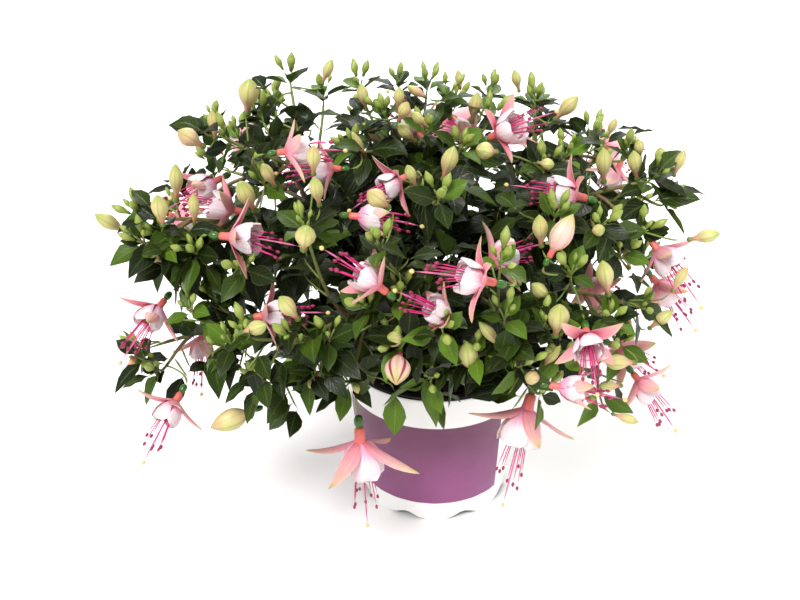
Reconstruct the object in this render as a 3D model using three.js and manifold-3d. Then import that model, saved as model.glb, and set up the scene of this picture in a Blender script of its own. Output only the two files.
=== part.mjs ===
// Potted fuchsia in a white pot cover: a bushy plant with pendulous pink and white blooms.
// Millimetres, +Z up, origin at the middle of the pot's underside, front of the plant towards -Y.
import * as THREE from "three";
import { mergeVertices } from "three/addons/utils/BufferGeometryUtils.js";
import Module from "manifold-3d";

const wasm = await Module();
wasm.setup();

// Driving dimensions of the pot, its cover and the soil
const POT_HEIGHT = 103.5;
const POT_TOP_RADIUS = 56;
const POT_BOTTOM_RADIUS = 45;
const POT_WALL = 1.4;
const POT_FLOOR = 2.5;
const RIM_HEIGHT = 7;
const COVER_HEIGHT = 102;
const COVER_TOP_RADIUS = 60;
const COVER_BOTTOM_RADIUS = 50;
const COVER_WALL = 1;
const HEM_LOBES = 8;
const HEM_DEPTH = 5;
const ROUND_SIDES = 24;
const SOIL_TOP = 92;
const SOIL_BUMP = 1.6;
const SOIL_SEED = 77;
const CLEARANCE = 0.3;
const HOLE_DEPTH = 14;
const HOLE_RADIUS = 4.4;

// Driving dimensions of the stems, leaves and buds
const MAIN_STEM_RADIUS = 1.7;
const SHOOT_RADIUS = 1.2;
const PEDICEL_RADIUS = 0.65;
const MAIN_STATIONS = [0.03, 0.14, 0.38, 0.68, 0.96];
const SHOOT_STATIONS = [0.02, 0.45, 0.96];
const LAST_JOINT = 0.94;
const ROOT_DEPTH = 1.2;
const LEAF_LENGTH = 35;
const LEAF_HALF_WIDTH = 0.24;
const LEAF_THICKNESS = 1;
const LEAF_SPACING = 19;
const BARE_STEM = 0.3;
const BARE_SHOOT = 0.2;
const LEAF_APART = 14;
const MOST_LEAVES = 190;
const OVARY_LENGTH = 5.5;
const OVARY_RADIUS = 2.1;

// A main stem rises at least this far before it arches, and a side shoot is at least this long
const LEAST_RISE = 75;
const LEAST_SHOOT = 20;

// Leaves at a shoot's tip are this share of full size; they are full-grown this far behind the tip
const TIP_LEAF_SHARE = 0.42;
const GROWN_AFTER = 60;

// The shortest stalks of an ovary and of a full bud
const LEAST_OVARY_STALK = 10;
const LEAST_BUD_STALK = 5;

// A stalk takes this share of its limb; the bud or the ovary takes the rest
const STALK_SHARE = 0.55;

// Half the bush's width, depth and height, and the height of its middle: leaves far out come first
const BUSH_REACH = [190, 140, 170];
const BUSH_MIDDLE = 120;

// Driving dimensions of a bloom of size 1
const TUBE_LENGTH = 7;
const THROAT_RADIUS = 2.6;
const SEPAL_LENGTH = 23;
const SEPAL_WIDTH = 8;
const SEPAL_THICKNESS = 0.9;
const COROLLA_LENGTH = 15;
const COROLLA_RADIUS = 8.5;
const STAMEN_LENGTH = 24;
const STYLE_LENGTH = 37;
const THREAD_ROOT = 3;
const STAMENS = 3;
const CLOSED = 15;

// The leafy branches: where each stem leaves the soil, and where its main tip and its side shoots end
const BRANCHES = [
  { name: "left_top", foot: [-14, 10], tips: [[-123, -35, 263], [-90, 10, 286], [-107, 0, 266],
    [-101, -55, 246], [-131, -25, 269]] },
  { name: "left", foot: [-24, 0], tips: [[-170, -65, 230], [-156, -75, 222], [-166, -82, 222],
    [-137, -85, 217], [-109, -95, 212]] },
  { name: "left_low", foot: [-22, -12], tips: [[-178, -72, 147], [-142, -92, 184], [-168, -75, 134],
    [-118, -105, 170], [-126, -88, 158], [-132, -70, 180]] },
  { name: "front_left", foot: [-12, -22], tips: [[-78, -122, 180], [-106, -116, 182], [-62, -120, 182],
    [-74, -116, 157], [-101, -105, 144], [-74, -105, 241], [-53, -100, 141]] },
  { name: "front", foot: [0, -26], tips: [[-2, -130, 195], [-26, -122, 180], [-22, -114, 206],
    [-7, -112, 152], [-34, -118, 236], [-40, -122, 202]] },
  { name: "front_right", foot: [12, -22], tips: [[42, -124, 166], [32, -125, 198], [17, -122, 174],
    [56, -110, 140], [29, -118, 227], [55, -118, 188]] },
  { name: "right_low", foot: [22, -12], tips: [[114, -82, 181], [69, -106, 215], [101, -95, 164],
    [92, -100, 134], [95, -95, 181], [65, -112, 168]] },
  { name: "right", foot: [26, 2], tips: [[124, -35, 241], [86, -85, 233], [116, -55, 215],
    [133, -35, 225], [101, -75, 212], [62, -78, 236]] },
  { name: "right_top", foot: [14, 12], tips: [[94, 5, 248], [59, 15, 270], [74, -20, 249],
    [60, -40, 249], [112, -14, 246]] },
  { name: "top", foot: [0, 14], tips: [[-33, 0, 268], [5, 10, 276], [-3, -100, 256], [31, 10, 262],
    [-9, -10, 260], [-51, -10, 250], [12, -20, 254]] },
  { name: "back_left", foot: [-20, 22], tips: [[-150, 75, 205], [-110, 95, 235], [-170, 35, 190],
    [-95, 125, 180], [-135, 90, 150], [-165, 20, 150], [-75, 80, 255], [-105, 50, 258], [-128, 45, 236],
    [-85, 100, 140]] },
  { name: "back", foot: [0, 30], tips: [[-20, 140, 200], [-55, 120, 225], [15, 115, 235], [-25, 80, 262],
    [45, 130, 185], [-60, 140, 150], [5, 145, 140], [-50, 60, 266], [35, 70, 258], [-5, 110, 250],
    [-30, 120, 165]] },
  { name: "back_right", foot: [20, 22], tips: [[110, 80, 205], [75, 100, 225], [130, 40, 190],
    [65, 60, 255], [100, 95, 150], [135, 10, 165], [60, 125, 160], [100, 45, 238], [60, 95, 190],
    [120, 55, 150]] },
];

// The blooms: where the tube sits on its ovary, where the corolla opens to, the size, how far the sepals
// bend back and their turn about the bloom's own axis in degrees, and their length if it is unusual
const BLOOMS = [
  ["left_high", [-130, -18, 236], [-147, -30, 231], 1, 45, 0],
  ["left_big", [-123, -90, 231], [-98, -95, 231], 1.05, 65, 20],
  ["left_upper", [-114, -54, 229], [-128, -56, 234], 0.95, 60, 0],
  ["left_behind", [-167, -14, 210], [-155, -6, 201], 0.9, 60, 0],
  ["left_edge", [-161, -68, 180], [-173, -85, 169], 1, 60, 0],
  ["left_under", [-147, -40, 144], [-149, -48, 117], 0.9, 60, 0],
  ["left_rim", [-154, -85, 126], [-165, -102, 112], 1, 80, 0],
  ["top_left", [-90, -82, 276], [-76, -78, 276], 0.85, 70, 0],
  ["top_left_inner", [-57, -42, 251], [-70, -44, 252], 0.85, 80, 0],
  ["upper_middle", [-52, -88, 242], [-31, -90, 241], 0.9, 30, 0],
  ["front_left_middle", [-105, -106, 189], [-82, -108, 193], 0.95, 80, 0],
  ["middle", [-30, -129, 216], [-46, -129, 230], 1, 62, 20],
  ["upper_inner", [-19, -45, 248], [-36, -55, 243], 0.9, 80, 0],
  ["middle_low", [7, -126, 197], [-9, -129, 209], 0.95, 60, 45],
  ["middle_big", [25, -146, 231], [4, -148, 237], 1, 95, 0],
  ["middle_behind", [22, -85, 211], [41, -75, 214], 1, 80, 0],
  ["top_right_big", [28, -25, 263], [49, -38, 279], 1.1, 65, 0],
  ["top_middle", [28, 15, 247], [8, 25, 253], 0.95, 70, -8],
  ["top_middle_left", [-9, 16, 247], [-21, 26, 263], 0.9, 50, 0],
  ["right_upper", [83, -58, 239], [59, -60, 246], 1.1, 85, 0],
  ["right_upper_behind", [117, 20, 232], [108, 16, 213], 0.95, 70, 0],
  ["right_middle", [55, -112, 228], [66, -106, 248], 0.85, 12, 0],
  ["right_middle_behind", [84, -46, 174], [104, -34, 166], 1, 75, 0],
  ["right_edge", [123, -52, 210], [133, -62, 200], 1.05, 75, 0],
  ["right_edge_low", [129, -38, 180], [147, -42, 161], 1, 70, 0],
  ["right_front", [77, -118, 189], [77, -140, 183], 1, 90, 0],
  ["right_behind", [103, -60, 145], [126, -54, 129], 1.1, 85, 0],
  ["right_low", [58, -124, 156], [85, -128, 154], 0.95, 25, 0],
  ["right_rim", [113, -85, 140], [128, -92, 123], 0.95, 80, 0],
  ["front_right", [53, -98, 134], [48, -105, 116], 1.5, 80, 0],
  ["front_left", [-48, -95, 108], [-46, -101, 71], 1.45, 75, 0, 40],
  ["left_opening", [-109, -95, 120], [-138, -106, 113], 0.9, 8, 0],
  ["front_opening", [-24, -122, 176], [-25, -136, 174], 0.85, 8, 0],
  ["back_left_high", [-128, 98, 222], [-142, 114, 208], 1, 85, 0],
  ["back_left_low", [-110, 110, 150], [-118, 125, 125], 1, 80, 0],
  ["back_middle", [-32, 142, 182], [-36, 160, 166], 1, 85, 0],
  ["back_top", [10, 80, 240], [15, 98, 225], 1, 80, 0],
  ["back_right_high", [118, 92, 216], [132, 106, 200], 1, 85, 0],
  ["back_right_low", [95, 105, 145], [105, 118, 122], 1, 80, 0],
];
const TWO_COLOURED = ["left_big", "middle_big", "top_right_big", "front_right", "front_left"];

// The full buds: where each sits on its pedicel, where it points, and how thick it is
const FULL_BUDS = [
  [[-116, 0, 268], [-112, -4, 293], 15],
  [[-130, -35, 266], [-130, -38, 285], 8],
  [[-135, -40, 263], [-148, -50, 277], 12.5],
  [[-71, 10, 284], [-64, 8, 301], 7.5],
  [[-69, -98, 269], [-68, -102, 288], 9],
  [[-66, -102, 253], [-68, -108, 273], 9],
  [[-93, -66, 249], [-99, -72, 266], 8.5],
  [[-105, -68, 235], [-111, -80, 259], 12.5],
  [[-150, -62, 238], [-148, -64, 263], 9.5],
  [[-153, -88, 235], [-153, -94, 257], 11],
  [[-179, -62, 219], [-195, -70, 235], 10],
  [[-138, -78, 231], [-136, -82, 253], 7.5],
  [[-156, -82, 211], [-165, -90, 221], 8.5],
  [[-110, -120, 187], [-94, -130, 198], 10],
  [[-77, -128, 199], [-86, -136, 218], 10.5],
  [[-184, -74, 145], [-183, -78, 133], 9.5],
  [[-74, -120, 236], [-71, -128, 254], 13],
  [[-29, -108, 255], [-40, -118, 269], 11.5],
  [[-15, -86, 258], [-20, -92, 273], 7.5],
  [[0, -62, 251], [6, -66, 274], 11],
  [[-25, -20, 271], [-19, -24, 285], 9],
  [[-25, -16, 277], [-24, -18, 292], 7.5],
  [[-44, 0, 271], [-47, -2, 289], 8.5],
  [[-7, 0, 279], [-20, -6, 289], 6],
  [[13, 12, 280], [11, 10, 294], 5.5],
  [[20, 8, 260], [23, 4, 282], 10],
  [[-7, -24, 269], [-17, -30, 281], 7],
  [[-44, -20, 250], [-52, -26, 268], 6],
  [[-36, -2, 251], [-46, -6, 266], 9],
  [[-14, -10, 255], [-25, -16, 269], 9.5],
  [[32, -45, 262], [19, -56, 268], 12],
  [[-21, -120, 182], [-30, -132, 191], 10.5],
  [[-43, -96, 137], [-50, -108, 145], 10],
  [[-69, -112, 158], [-73, -118, 147], 11.5],
  [[16, -120, 159], [12, -126, 185], 12.5],
  [[33, -122, 177], [18, -128, 199], 7.5],
  [[54, -120, 160], [45, -132, 165], 9.5],
  [[54, -116, 161], [64, -120, 179], 7],
  [[40, -118, 215], [34, -122, 231], 8.5],
  [[49, 14, 278], [45, 13, 293], 7],
  [[69, 2, 264], [82, -4, 282], 10.5],
  [[104, 10, 250], [108, 8, 264], 6.5],
  [[97, -30, 236], [94, -34, 261], 11],
  [[116, -32, 239], [111, -36, 260], 10],
  [[118, -26, 250], [115, -28, 264], 7],
  [[133, -18, 242], [130, -20, 256], 8.5],
  [[136, -36, 243], [140, -38, 261], 7.5],
  [[54, -48, 257], [63, -56, 259], 8],
  [[53, -98, 227], [50, -102, 249], 10],
  [[81, -86, 231], [86, -96, 238], 8],
  [[60, -104, 197], [47, -112, 213], 9.5],
  [[61, -118, 183], [61, -126, 208], 14],
  [[92, -98, 197], [85, -106, 224], 11.5],
  [[109, -68, 199], [105, -72, 216], 7.5],
  [[127, -96, 199], [133, -100, 217], 7.5],
  [[120, -82, 167], [132, -86, 182], 9],
  [[111, -102, 157], [90, -114, 165], 11],
  [[105, -100, 140], [89, -112, 148], 7.5],
  [[97, -112, 129], [112, -118, 127], 7],
];

// Leaves that shape the plant's outline: where each blade starts and where its point is
const OUTLINE_LEAVES = [
  [[-26, -96, 134], [-27, -101, 103]],
  [[-9, -92, 133], [4, -100, 107]],
  [[-174, -72, 130], [-193, -80, 125]],
  [[-132, -95, 158], [-127, -104, 134]],
  [[-110, -100, 145], [-126, -110, 133]],
  [[-106, -98, 139], [-114, -106, 115]],
  [[-104, -96, 141], [-90, -102, 125]],
  [[-56, -98, 137], [-75, -106, 124]],
  [[-94, 5, 280], [-113, -4, 272]],
  [[-84, 8, 282], [-65, 4, 277]],
  [[-78, 6, 267], [-56, 2, 269]],
  [[-124, -40, 260], [-128, -48, 249]],
  [[-163, -78, 216], [-172, -86, 206]],
  [[126, -35, 238], [142, -42, 227]],
  [[119, -38, 231], [99, -50, 227]],
  [[102, 2, 249], [116, -2, 243]],
  [[120, -82, 179], [135, -90, 165]],
  [[11, 8, 273], [32, 2, 272]],
  [[-34, -4, 267], [-55, -12, 262]],
  [[-31, -8, 257], [-17, -16, 247]],
  [[82, -8, 246], [59, -16, 248]],
  [[-133, -85, 212], [-123, -92, 196]],
];

const UP = new THREE.Vector3(0, 0, 1);
const point = (values) => new THREE.Vector3(...values);
const toward = (from, to) => to.clone().sub(from).normalize();
const blend = (...pairs) => {
  const sum = new THREE.Vector3();
  for (const [vector, weight] of pairs) sum.addScaledVector(vector, weight);
  return sum;
};

// Repeatable draws between 0 and 1
function drawsFrom(seed) {
  let state = seed;
  return () => {
    state = (state * 1664525 + 1013904223) % 4294967296;
    return state / 4294967296;
  };
}

// A right-handed frame (side, top, ahead) about a direction, its top as near to `above` as can be
function frameAbout(ahead, above) {
  const side = new THREE.Vector3().crossVectors(above, ahead);
  if (side.length() < 0.05) side.crossVectors(new THREE.Vector3(0, 1, 0), ahead);
  side.normalize();
  const top = new THREE.Vector3().crossVectors(ahead, side);
  return { side, top, ahead };
}

// A direction square to the way a gently bent line bends, so that rings along it don't twist
function squareTo(first, last) {
  const bend = new THREE.Vector3().crossVectors(first, last);
  const upright = Math.abs(first.z) > 0.9;
  if (bend.length() < 0.1) bend.crossVectors(first, upright ? new THREE.Vector3(1, 0, 0) : UP);
  return bend.normalize();
}

// A closed grown shape: a root point, a ring of `sides` points at each station, and a tip point.
// `where` gives the place for a station and for the cosine and sine of the turn about the axis.
function grown(sides, stations, where) {
  const ball = new THREE.SphereGeometry(1, sides, stations.length + 1);
  ball.deleteAttribute("normal");
  ball.deleteAttribute("uv");
  const shape = mergeVertices(ball);
  const places = shape.attributes.position;
  const ends = [0, ...stations, 1];
  for (let i = 0; i < places.count; i += 1) {
    const place = new THREE.Vector3().fromBufferAttribute(places, i);
    const fall = Math.acos(THREE.MathUtils.clamp(place.y, -1, 1)) / Math.PI;
    const ring = Math.round(fall * (ends.length - 1));
    const reach = Math.hypot(place.x, place.z) || 1;
    const spot = where(ends[ring], place.x / reach, place.z / reach, ring);
    places.setXYZ(i, spot.x, spot.y, spot.z);
  }
  return shape;
}

// A blade of three-cornered section: `edge` is -1 or 1 at its two edges and 0 at the keel under its middle
function blade(stations, where) {
  return grown(3, stations, (along, cos, sin, ring) => where(along, -Math.round(sin / 0.87), ring));
}

function solidOf(shape) {
  return new wasm.Manifold(new wasm.Mesh({
    numProp: 3,
    vertProperties: new Float32Array(shape.attributes.position.array),
    triVerts: new Uint32Array(shape.index.array),
  }));
}

// The largest single body of several overlapping solids: loose scraps and sealed hollows are dropped
function fuse(solids) {
  let body = solids[0];
  for (const solid of solids.slice(1)) body = body.add(solid);
  return body.decompose().reduce((best, piece) => (piece.volume() > best.volume() ? piece : best));
}

function meshOf(name, solid, material) {
  const { vertProperties, triVerts } = solid.getMesh();
  const shape = new THREE.BufferGeometry();
  shape.setAttribute("position", new THREE.BufferAttribute(new Float32Array(vertProperties), 3));
  shape.setIndex(new THREE.BufferAttribute(new Uint32Array(triVerts), 1));
  shape.computeVertexNormals();
  const mesh = new THREE.Mesh(shape, material);
  mesh.name = name;
  return mesh;
}

const finish = (color, roughness) => new THREE.MeshStandardMaterial({ color, roughness, metalness: 0 });
const BLACK_PLASTIC = finish(0x23211f, 0.5);
const WHITE_COVER = finish(0xf0f1f2, 0.6);
const COMPOST = finish(0x33261c, 0.95);
const FOLIAGE = finish(0x3f6f2c, 0.5);
const PINK_CALYX = finish(0xf2a3ab, 0.55);
const WHITE_COROLLA = finish(0xf8ecec, 0.6);

// A round wall or block from a closed profile of [radius, height] pairs
function turned(profile) {
  const outline = profile.map(([radius, height]) => new THREE.Vector2(radius, height));
  const shape = new THREE.LatheGeometry([...outline, outline[0]], ROUND_SIDES);
  shape.rotateX(Math.PI / 2);
  shape.deleteAttribute("normal");
  shape.deleteAttribute("uv");
  return mergeVertices(shape, 1e-3);
}

// The rim fits inside the cover; the pot's body below it tapers more
const tapered = (low, high, height) => (z) => low + ((high - low) * z) / height;
const coverRadius = tapered(COVER_BOTTOM_RADIUS, COVER_TOP_RADIUS, COVER_HEIGHT);
const rimRadius = (z) => coverRadius(z) - COVER_WALL - CLEARANCE;
const potRadius = tapered(POT_BOTTOM_RADIUS, POT_TOP_RADIUS, POT_HEIGHT);

function makePot() {
  const lip = POT_HEIGHT - RIM_HEIGHT;
  const shape = turned([
    [0, 0],
    [POT_BOTTOM_RADIUS, 0],
    [potRadius(lip), lip],
    [rimRadius(lip), lip],
    [rimRadius(COVER_HEIGHT), COVER_HEIGHT],
    [rimRadius(COVER_HEIGHT), POT_HEIGHT],
    [potRadius(POT_HEIGHT) - POT_WALL, POT_HEIGHT],
    [potRadius(POT_FLOOR) - POT_WALL, POT_FLOOR],
    [0, POT_FLOOR],
  ]);
  return solidOf(shape);
}

// The cover is a thin tapered wall whose lower hem runs in lobes, the front one lowest
function makeCover() {
  const shape = turned([
    [COVER_BOTTOM_RADIUS, 0],
    [COVER_TOP_RADIUS, COVER_HEIGHT],
    [COVER_TOP_RADIUS - COVER_WALL, COVER_HEIGHT],
    [COVER_BOTTOM_RADIUS - COVER_WALL, 0],
  ]);
  const places = shape.attributes.position;
  for (let i = 0; i < places.count; i += 1) {
    if (places.getZ(i) > 1) continue;
    const turn = Math.atan2(places.getX(i), -places.getY(i));
    const rise = HEM_DEPTH * (0.5 - 0.5 * Math.cos(HEM_LOBES * turn)) ** 2;
    const widen = 1 + (rise / COVER_HEIGHT) * (COVER_TOP_RADIUS / COVER_BOTTOM_RADIUS - 1);
    places.setXYZ(i, places.getX(i) * widen, places.getY(i) * widen, rise);
  }
  return solidOf(shape);
}

// The compost fills the pot up to its slightly lumpy top, with a plain hole for each stem
function makeSoil(feet) {
  const inside = (z) => potRadius(z) - POT_WALL - CLEARANCE;
  const floor = POT_FLOOR + CLEARANCE;
  const shape = turned([
    [0, floor],
    [inside(floor), floor],
    [inside(SOIL_TOP), SOIL_TOP],
    [0, SOIL_TOP],
  ]);
  const places = shape.attributes.position;
  const draw = drawsFrom(SOIL_SEED);
  for (let i = 0; i < places.count; i += 1) {
    const lump = SOIL_BUMP * draw();
    if (places.getZ(i) > SOIL_TOP - 1) places.setZ(i, SOIL_TOP - lump);
  }
  let soil = solidOf(shape);
  for (const [x, y] of feet) {
    const hole = new THREE.CylinderGeometry(HOLE_RADIUS, HOLE_RADIUS, 2 * HOLE_DEPTH, 5);
    hole.rotateX(Math.PI / 2);
    hole.translate(x, y, SOIL_TOP);
    hole.deleteAttribute("normal");
    hole.deleteAttribute("uv");
    soil = soil.subtract(solidOf(mergeVertices(hole, 1e-3)));
  }
  return soil;
}

// A stem's own line: straight from one of its stations to the next, so that what grows from it meets it
class Jointed extends THREE.Curve {
  constructor(curve, stations) {
    super();
    this.knots = [0, ...stations, 1];
    this.spots = this.knots.map((knot) => curve.getPoint(knot));
  }

  getPoint(along) {
    const next = this.knots.findIndex((knot, k) => k > 0 && along <= knot);
    const span = next < 0 ? this.knots.length - 1 : next;
    const share = (along - this.knots[span - 1]) / (this.knots[span] - this.knots[span - 1]);
    return this.spots[span - 1].clone().lerp(this.spots[span], share);
  }
}

// A main stem rises straight out of the soil and arches out to its tip
function mainPath(foot, tip) {
  const start = new THREE.Vector3(foot[0], foot[1], SOIL_TOP - HOLE_DEPTH + CLEARANCE);
  const reach = tip.clone().sub(start);
  const rise = Math.max(LEAST_RISE, 0.55 * reach.z + 35);
  const arch = 30 - 0.3 * (tip.z - SOIL_TOP);
  return new Jointed(new THREE.CubicBezierCurve3(
    start,
    start.clone().addScaledVector(UP, rise),
    new THREE.Vector3(tip.x - 0.4 * reach.x, tip.y - 0.4 * reach.y, tip.z + arch),
    tip,
  ), MAIN_STATIONS);
}

// A side shoot leaves the main stem where it has a short and straight way to its tip
function sidePath(main, tip) {
  let best = null;
  for (let step = 7; step <= 17; step += 1) {
    const start = main.getPoint(step / 20);
    const along = main.getTangent(step / 20);
    const ahead = toward(start, tip);
    const gap = start.distanceTo(tip);
    const cost = gap + 50 * (1 - ahead.dot(along));
    if (gap > LEAST_SHOOT && (!best || cost < best.cost)) best = { start, along, ahead, cost };
  }
  const stride = 0.36 * best.start.distanceTo(tip);
  return new Jointed(new THREE.CubicBezierCurve3(
    best.start,
    best.start.clone().add(blend([best.along, 0.6 * stride], [best.ahead, 0.5 * stride])),
    tip.clone().sub(blend([best.ahead, 0.65 * stride], [UP, 0.4 * stride])),
    tip,
  ), SHOOT_STATIONS);
}

// A limb of a few sides through its spots, with a ring of the listed radius at each spot between its ends
function limb(spots, radii, sides) {
  const last = spots.length - 1;
  const level = squareTo(toward(spots[0], spots[1]), toward(spots[last - 1], spots[last]));
  return grown(sides, radii.map((_, k) => (k + 1) / last), (along, cos, sin, ring) => {
    const spot = spots[ring].clone();
    if (ring === 0 || ring === last) return spot;
    const bisector = blend([toward(spots[ring - 1], spot), 1], [toward(spot, spots[ring + 1]), 1]);
    const { side, top } = frameAbout(bisector.normalize(), level);
    return spot.add(blend([side, radii[ring - 1] * cos], [top, radii[ring - 1] * sin]));
  });
}

// A tapered stem along its path
function stem(path, radius, sides, stations) {
  const spots = [0, ...stations, 1].map((along) => path.getPoint(along));
  return limb(spots, stations.map((along) => radius * (1 - 0.45 * along)), sides);
}

// A short stalk from a joint on a shoot to the seat of a bud or an ovary, which it meets along `ahead`
function stalkPath(joint, seat, ahead) {
  const stride = 0.4 * joint.distanceTo(seat);
  return new THREE.CubicBezierCurve3(
    joint,
    joint.clone().addScaledVector(UP, 0.5 * stride),
    seat.clone().addScaledVector(ahead, -stride),
    seat,
  );
}

// The place on the shoots nearest to `seat` that is at least `apart` from it, where its stalk starts
function nearestJoint(joints, seat, apart) {
  let best = null;
  for (const joint of joints) {
    const gap = joint.place.distanceTo(seat);
    if (gap >= apart && (!best || gap < best.gap)) best = { gap, joint };
  }
  return best.joint;
}

// Half the width of a leaf at a share of its length, as a share of its length: a thin petiole, then an
// ovate blade that is widest below its middle and drawn out to a point
function leafHalfWidth(along) {
  const blade = Math.max(0, (along - 0.14) / 0.86);
  return Math.max(0.015 * (1 - along), LEAF_HALF_WIDTH * Math.sin(Math.PI * blade ** 0.8) ** 0.85);
}

// A folded blade that arches down: `leaf` has its root, its direction, its upper side, length and droop
function leafPlace(leaf, along, edge, keel) {
  const { root, out, face, length, droop } = leaf;
  const middle = root.clone();
  middle.addScaledVector(out, length * along * (1 - 0.12 * along));
  middle.addScaledVector(UP, -length * droop * along * along);
  const side = new THREE.Vector3().crossVectors(face, out).normalize();
  return middle.add(blend([side, length * leafHalfWidth(along) * edge], [face, -keel]));
}

function leafSolid(leaf, stations) {
  return blade(stations, (along, edge, ring) => {
    const keel = edge || ring === 0 || ring > stations.length ? 0 : LEAF_THICKNESS;
    return leafPlace(leaf, along, edge, keel);
  });
}

// A leaf whose petiole reaches back to its joint; its widest place is near the middle of the blade
function stalkedLeafSolid(joint, leaf) {
  return blade([0.45, 0.75], (along, edge, ring) => {
    if (ring === 0) return joint;
    const share = ring === 1 ? 0.15 : (along - 0.5) * 2;
    return leafPlace(leaf, ring === 3 ? 1 : share, edge, edge || ring === 3 ? 0 : LEAF_THICKNESS);
  });
}

// Opposite pairs of leaves along a shoot, each pair turned a quarter turn from the last one,
// smaller towards the tip
function leavesOn(path, bare, seed) {
  const draw = drawsFrom(seed);
  const length = path.getLength();
  const pairs = Math.max(2, Math.round((length * (1 - bare)) / LEAF_SPACING));
  const leaves = [];
  for (let pair = 0; pair <= pairs; pair += 1) {
    const along = bare + (LAST_JOINT - bare) * (pair / pairs) ** 0.85;
    const ahead = path.getTangent(along);
    const { side, top } = frameAbout(ahead, UP);
    const toTip = (1 - along) * length;
    const size = LEAF_LENGTH * Math.min(1, TIP_LEAF_SHARE + toTip / GROWN_AFTER);
    const quarter = ((pair % 2) * Math.PI) / 2 + 0.5 * (draw() - 0.5);
    for (const turn of [quarter, quarter + Math.PI]) {
      const away = blend([side, Math.cos(turn)], [top, Math.sin(turn)]);
      const out = blend([away, 0.9], [ahead, 0.45], [UP, 0.1 + 0.25 * draw()]).normalize();
      const lean = blend([ahead, 0.7], [UP, 1]);
      const face = lean.addScaledVector(out, -lean.dot(out)).normalize();
      const scale = 0.8 + 0.3 * draw();
      const root = path.getPoint(along);
      leaves.push({ root, out, face, length: size * scale, droop: 0.12 + 0.3 * draw() });
    }
  }
  return leaves;
}

// A stalk that swells into a bud or an ovary: `swell` lists [share of the way, radius] along stalk and bud.
// Its root starts a little behind the joint.
function stalked(path, seat, tip, swell, sides) {
  const spots = swell.map(([along]) => {
    if (along < STALK_SHARE) return path.getPoint(along / STALK_SHARE);
    return seat.clone().lerp(tip, (along - STALK_SHARE) / (1 - STALK_SHARE));
  });
  const joint = path.getPoint(0);
  const root = joint.clone().addScaledVector(toward(joint, spots[0]), -ROOT_DEPTH);
  return limb([root, ...spots, tip], swell.map(([, radius]) => radius), sides);
}

function budSolid(joint, seat, tip, girth) {
  const path = stalkPath(joint, seat, toward(seat, tip));
  const sides = girth > 9 ? 4 : 3;
  return stalked(path, seat, tip, [[0.5, PEDICEL_RADIUS], [0.78, 0.5 * girth]], sides);
}

// Where the ovary behind a bloom starts
const ovaryBack = ({ seat, frame, size }) => seat.clone().addScaledVector(frame.ahead, -OVARY_LENGTH * size);

function ovarySolid(joint, bloom) {
  const back = ovaryBack(bloom);
  const path = stalkPath(joint, back, bloom.frame.ahead);
  const swell = [[0.5, PEDICEL_RADIUS], [0.8, OVARY_RADIUS * bloom.size]];
  return stalked(path, back, bloom.seat, swell, 3);
}

// The small bud that stands up at the end of a shoot
function tipBud(path, seed) {
  const draw = drawsFrom(seed);
  const end = path.getPoint(1);
  const ahead = path.getTangent(1);
  const { side, top } = frameAbout(ahead, UP);
  const turn = 2 * Math.PI * draw();
  const away = blend([side, Math.cos(turn)], [top, Math.sin(turn)]);
  const aim = blend([away, 0.55], [ahead, 0.6], [UP, 0.6]).normalize();
  const seat = end.clone().addScaledVector(aim, 6 + 4 * draw());
  const length = 9 + 5 * draw();
  const stalk = stalkPath(path.getPoint(LAST_JOINT), seat, aim);
  return stalked(stalk, seat, seat.clone().addScaledVector(aim, length), [[0.75, 0.21 * length]], 4);
}

// The local frame of a bloom, its axis ahead out of the ovary
function bloomFrame(seat, mouth, roll) {
  const ahead = toward(seat, mouth);
  const { side, top } = frameAbout(ahead, UP);
  const turn = THREE.MathUtils.degToRad(roll);
  return {
    ahead,
    side: blend([side, Math.cos(turn)], [top, Math.sin(turn)]),
    top: blend([side, -Math.sin(turn)], [top, Math.cos(turn)]),
  };
}

// The tube alone, or the tube that runs on into a bell of petals whose rim rises and falls petal by petal
function bellSolid(bloom, profile, sides) {
  const { seat, frame, size } = bloom;
  return grown(sides, profile.map((_, k) => (k + 1) / (profile.length + 1)), (along, cos, sin, ring) => {
    const turn = Math.atan2(sin, cos);
    const last = ring > profile.length;
    const [ahead, radius, lobe] = ring === 0 ? [0, 0, 0] : profile[Math.min(ring, profile.length) - 1];
    const wave = 1 + lobe * Math.cos((sides / 2) * turn);
    const reach = CLEARANCE + size * (last ? TUBE_LENGTH : ahead) * wave;
    const middle = seat.clone().addScaledVector(frame.ahead, reach);
    const thick = last ? 0 : size * radius * wave;
    return middle.add(blend([frame.side, thick * cos], [frame.top, thick * sin]));
  });
}

const TUBE_PROFILE = [[TUBE_LENGTH, THROAT_RADIUS, 0]];
const BELL_PROFILE = [
  ...TUBE_PROFILE,
  [TUBE_LENGTH + COROLLA_LENGTH, COROLLA_RADIUS, 0.09],
];

// The full corolla of a showy bloom: an open skirt of petals round its stamens, listed as [ahead, radius]
const SKIRT_PROFILE = [
  [0.5, 2.2],
  [5, 6.8],
  [COROLLA_LENGTH, COROLLA_RADIUS],
  [COROLLA_LENGTH - 2.5, 7],
  [5, 5.5],
];
const SKIRT_PETALS = 5;
const SKIRT_WAVE = 0.09;

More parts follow.
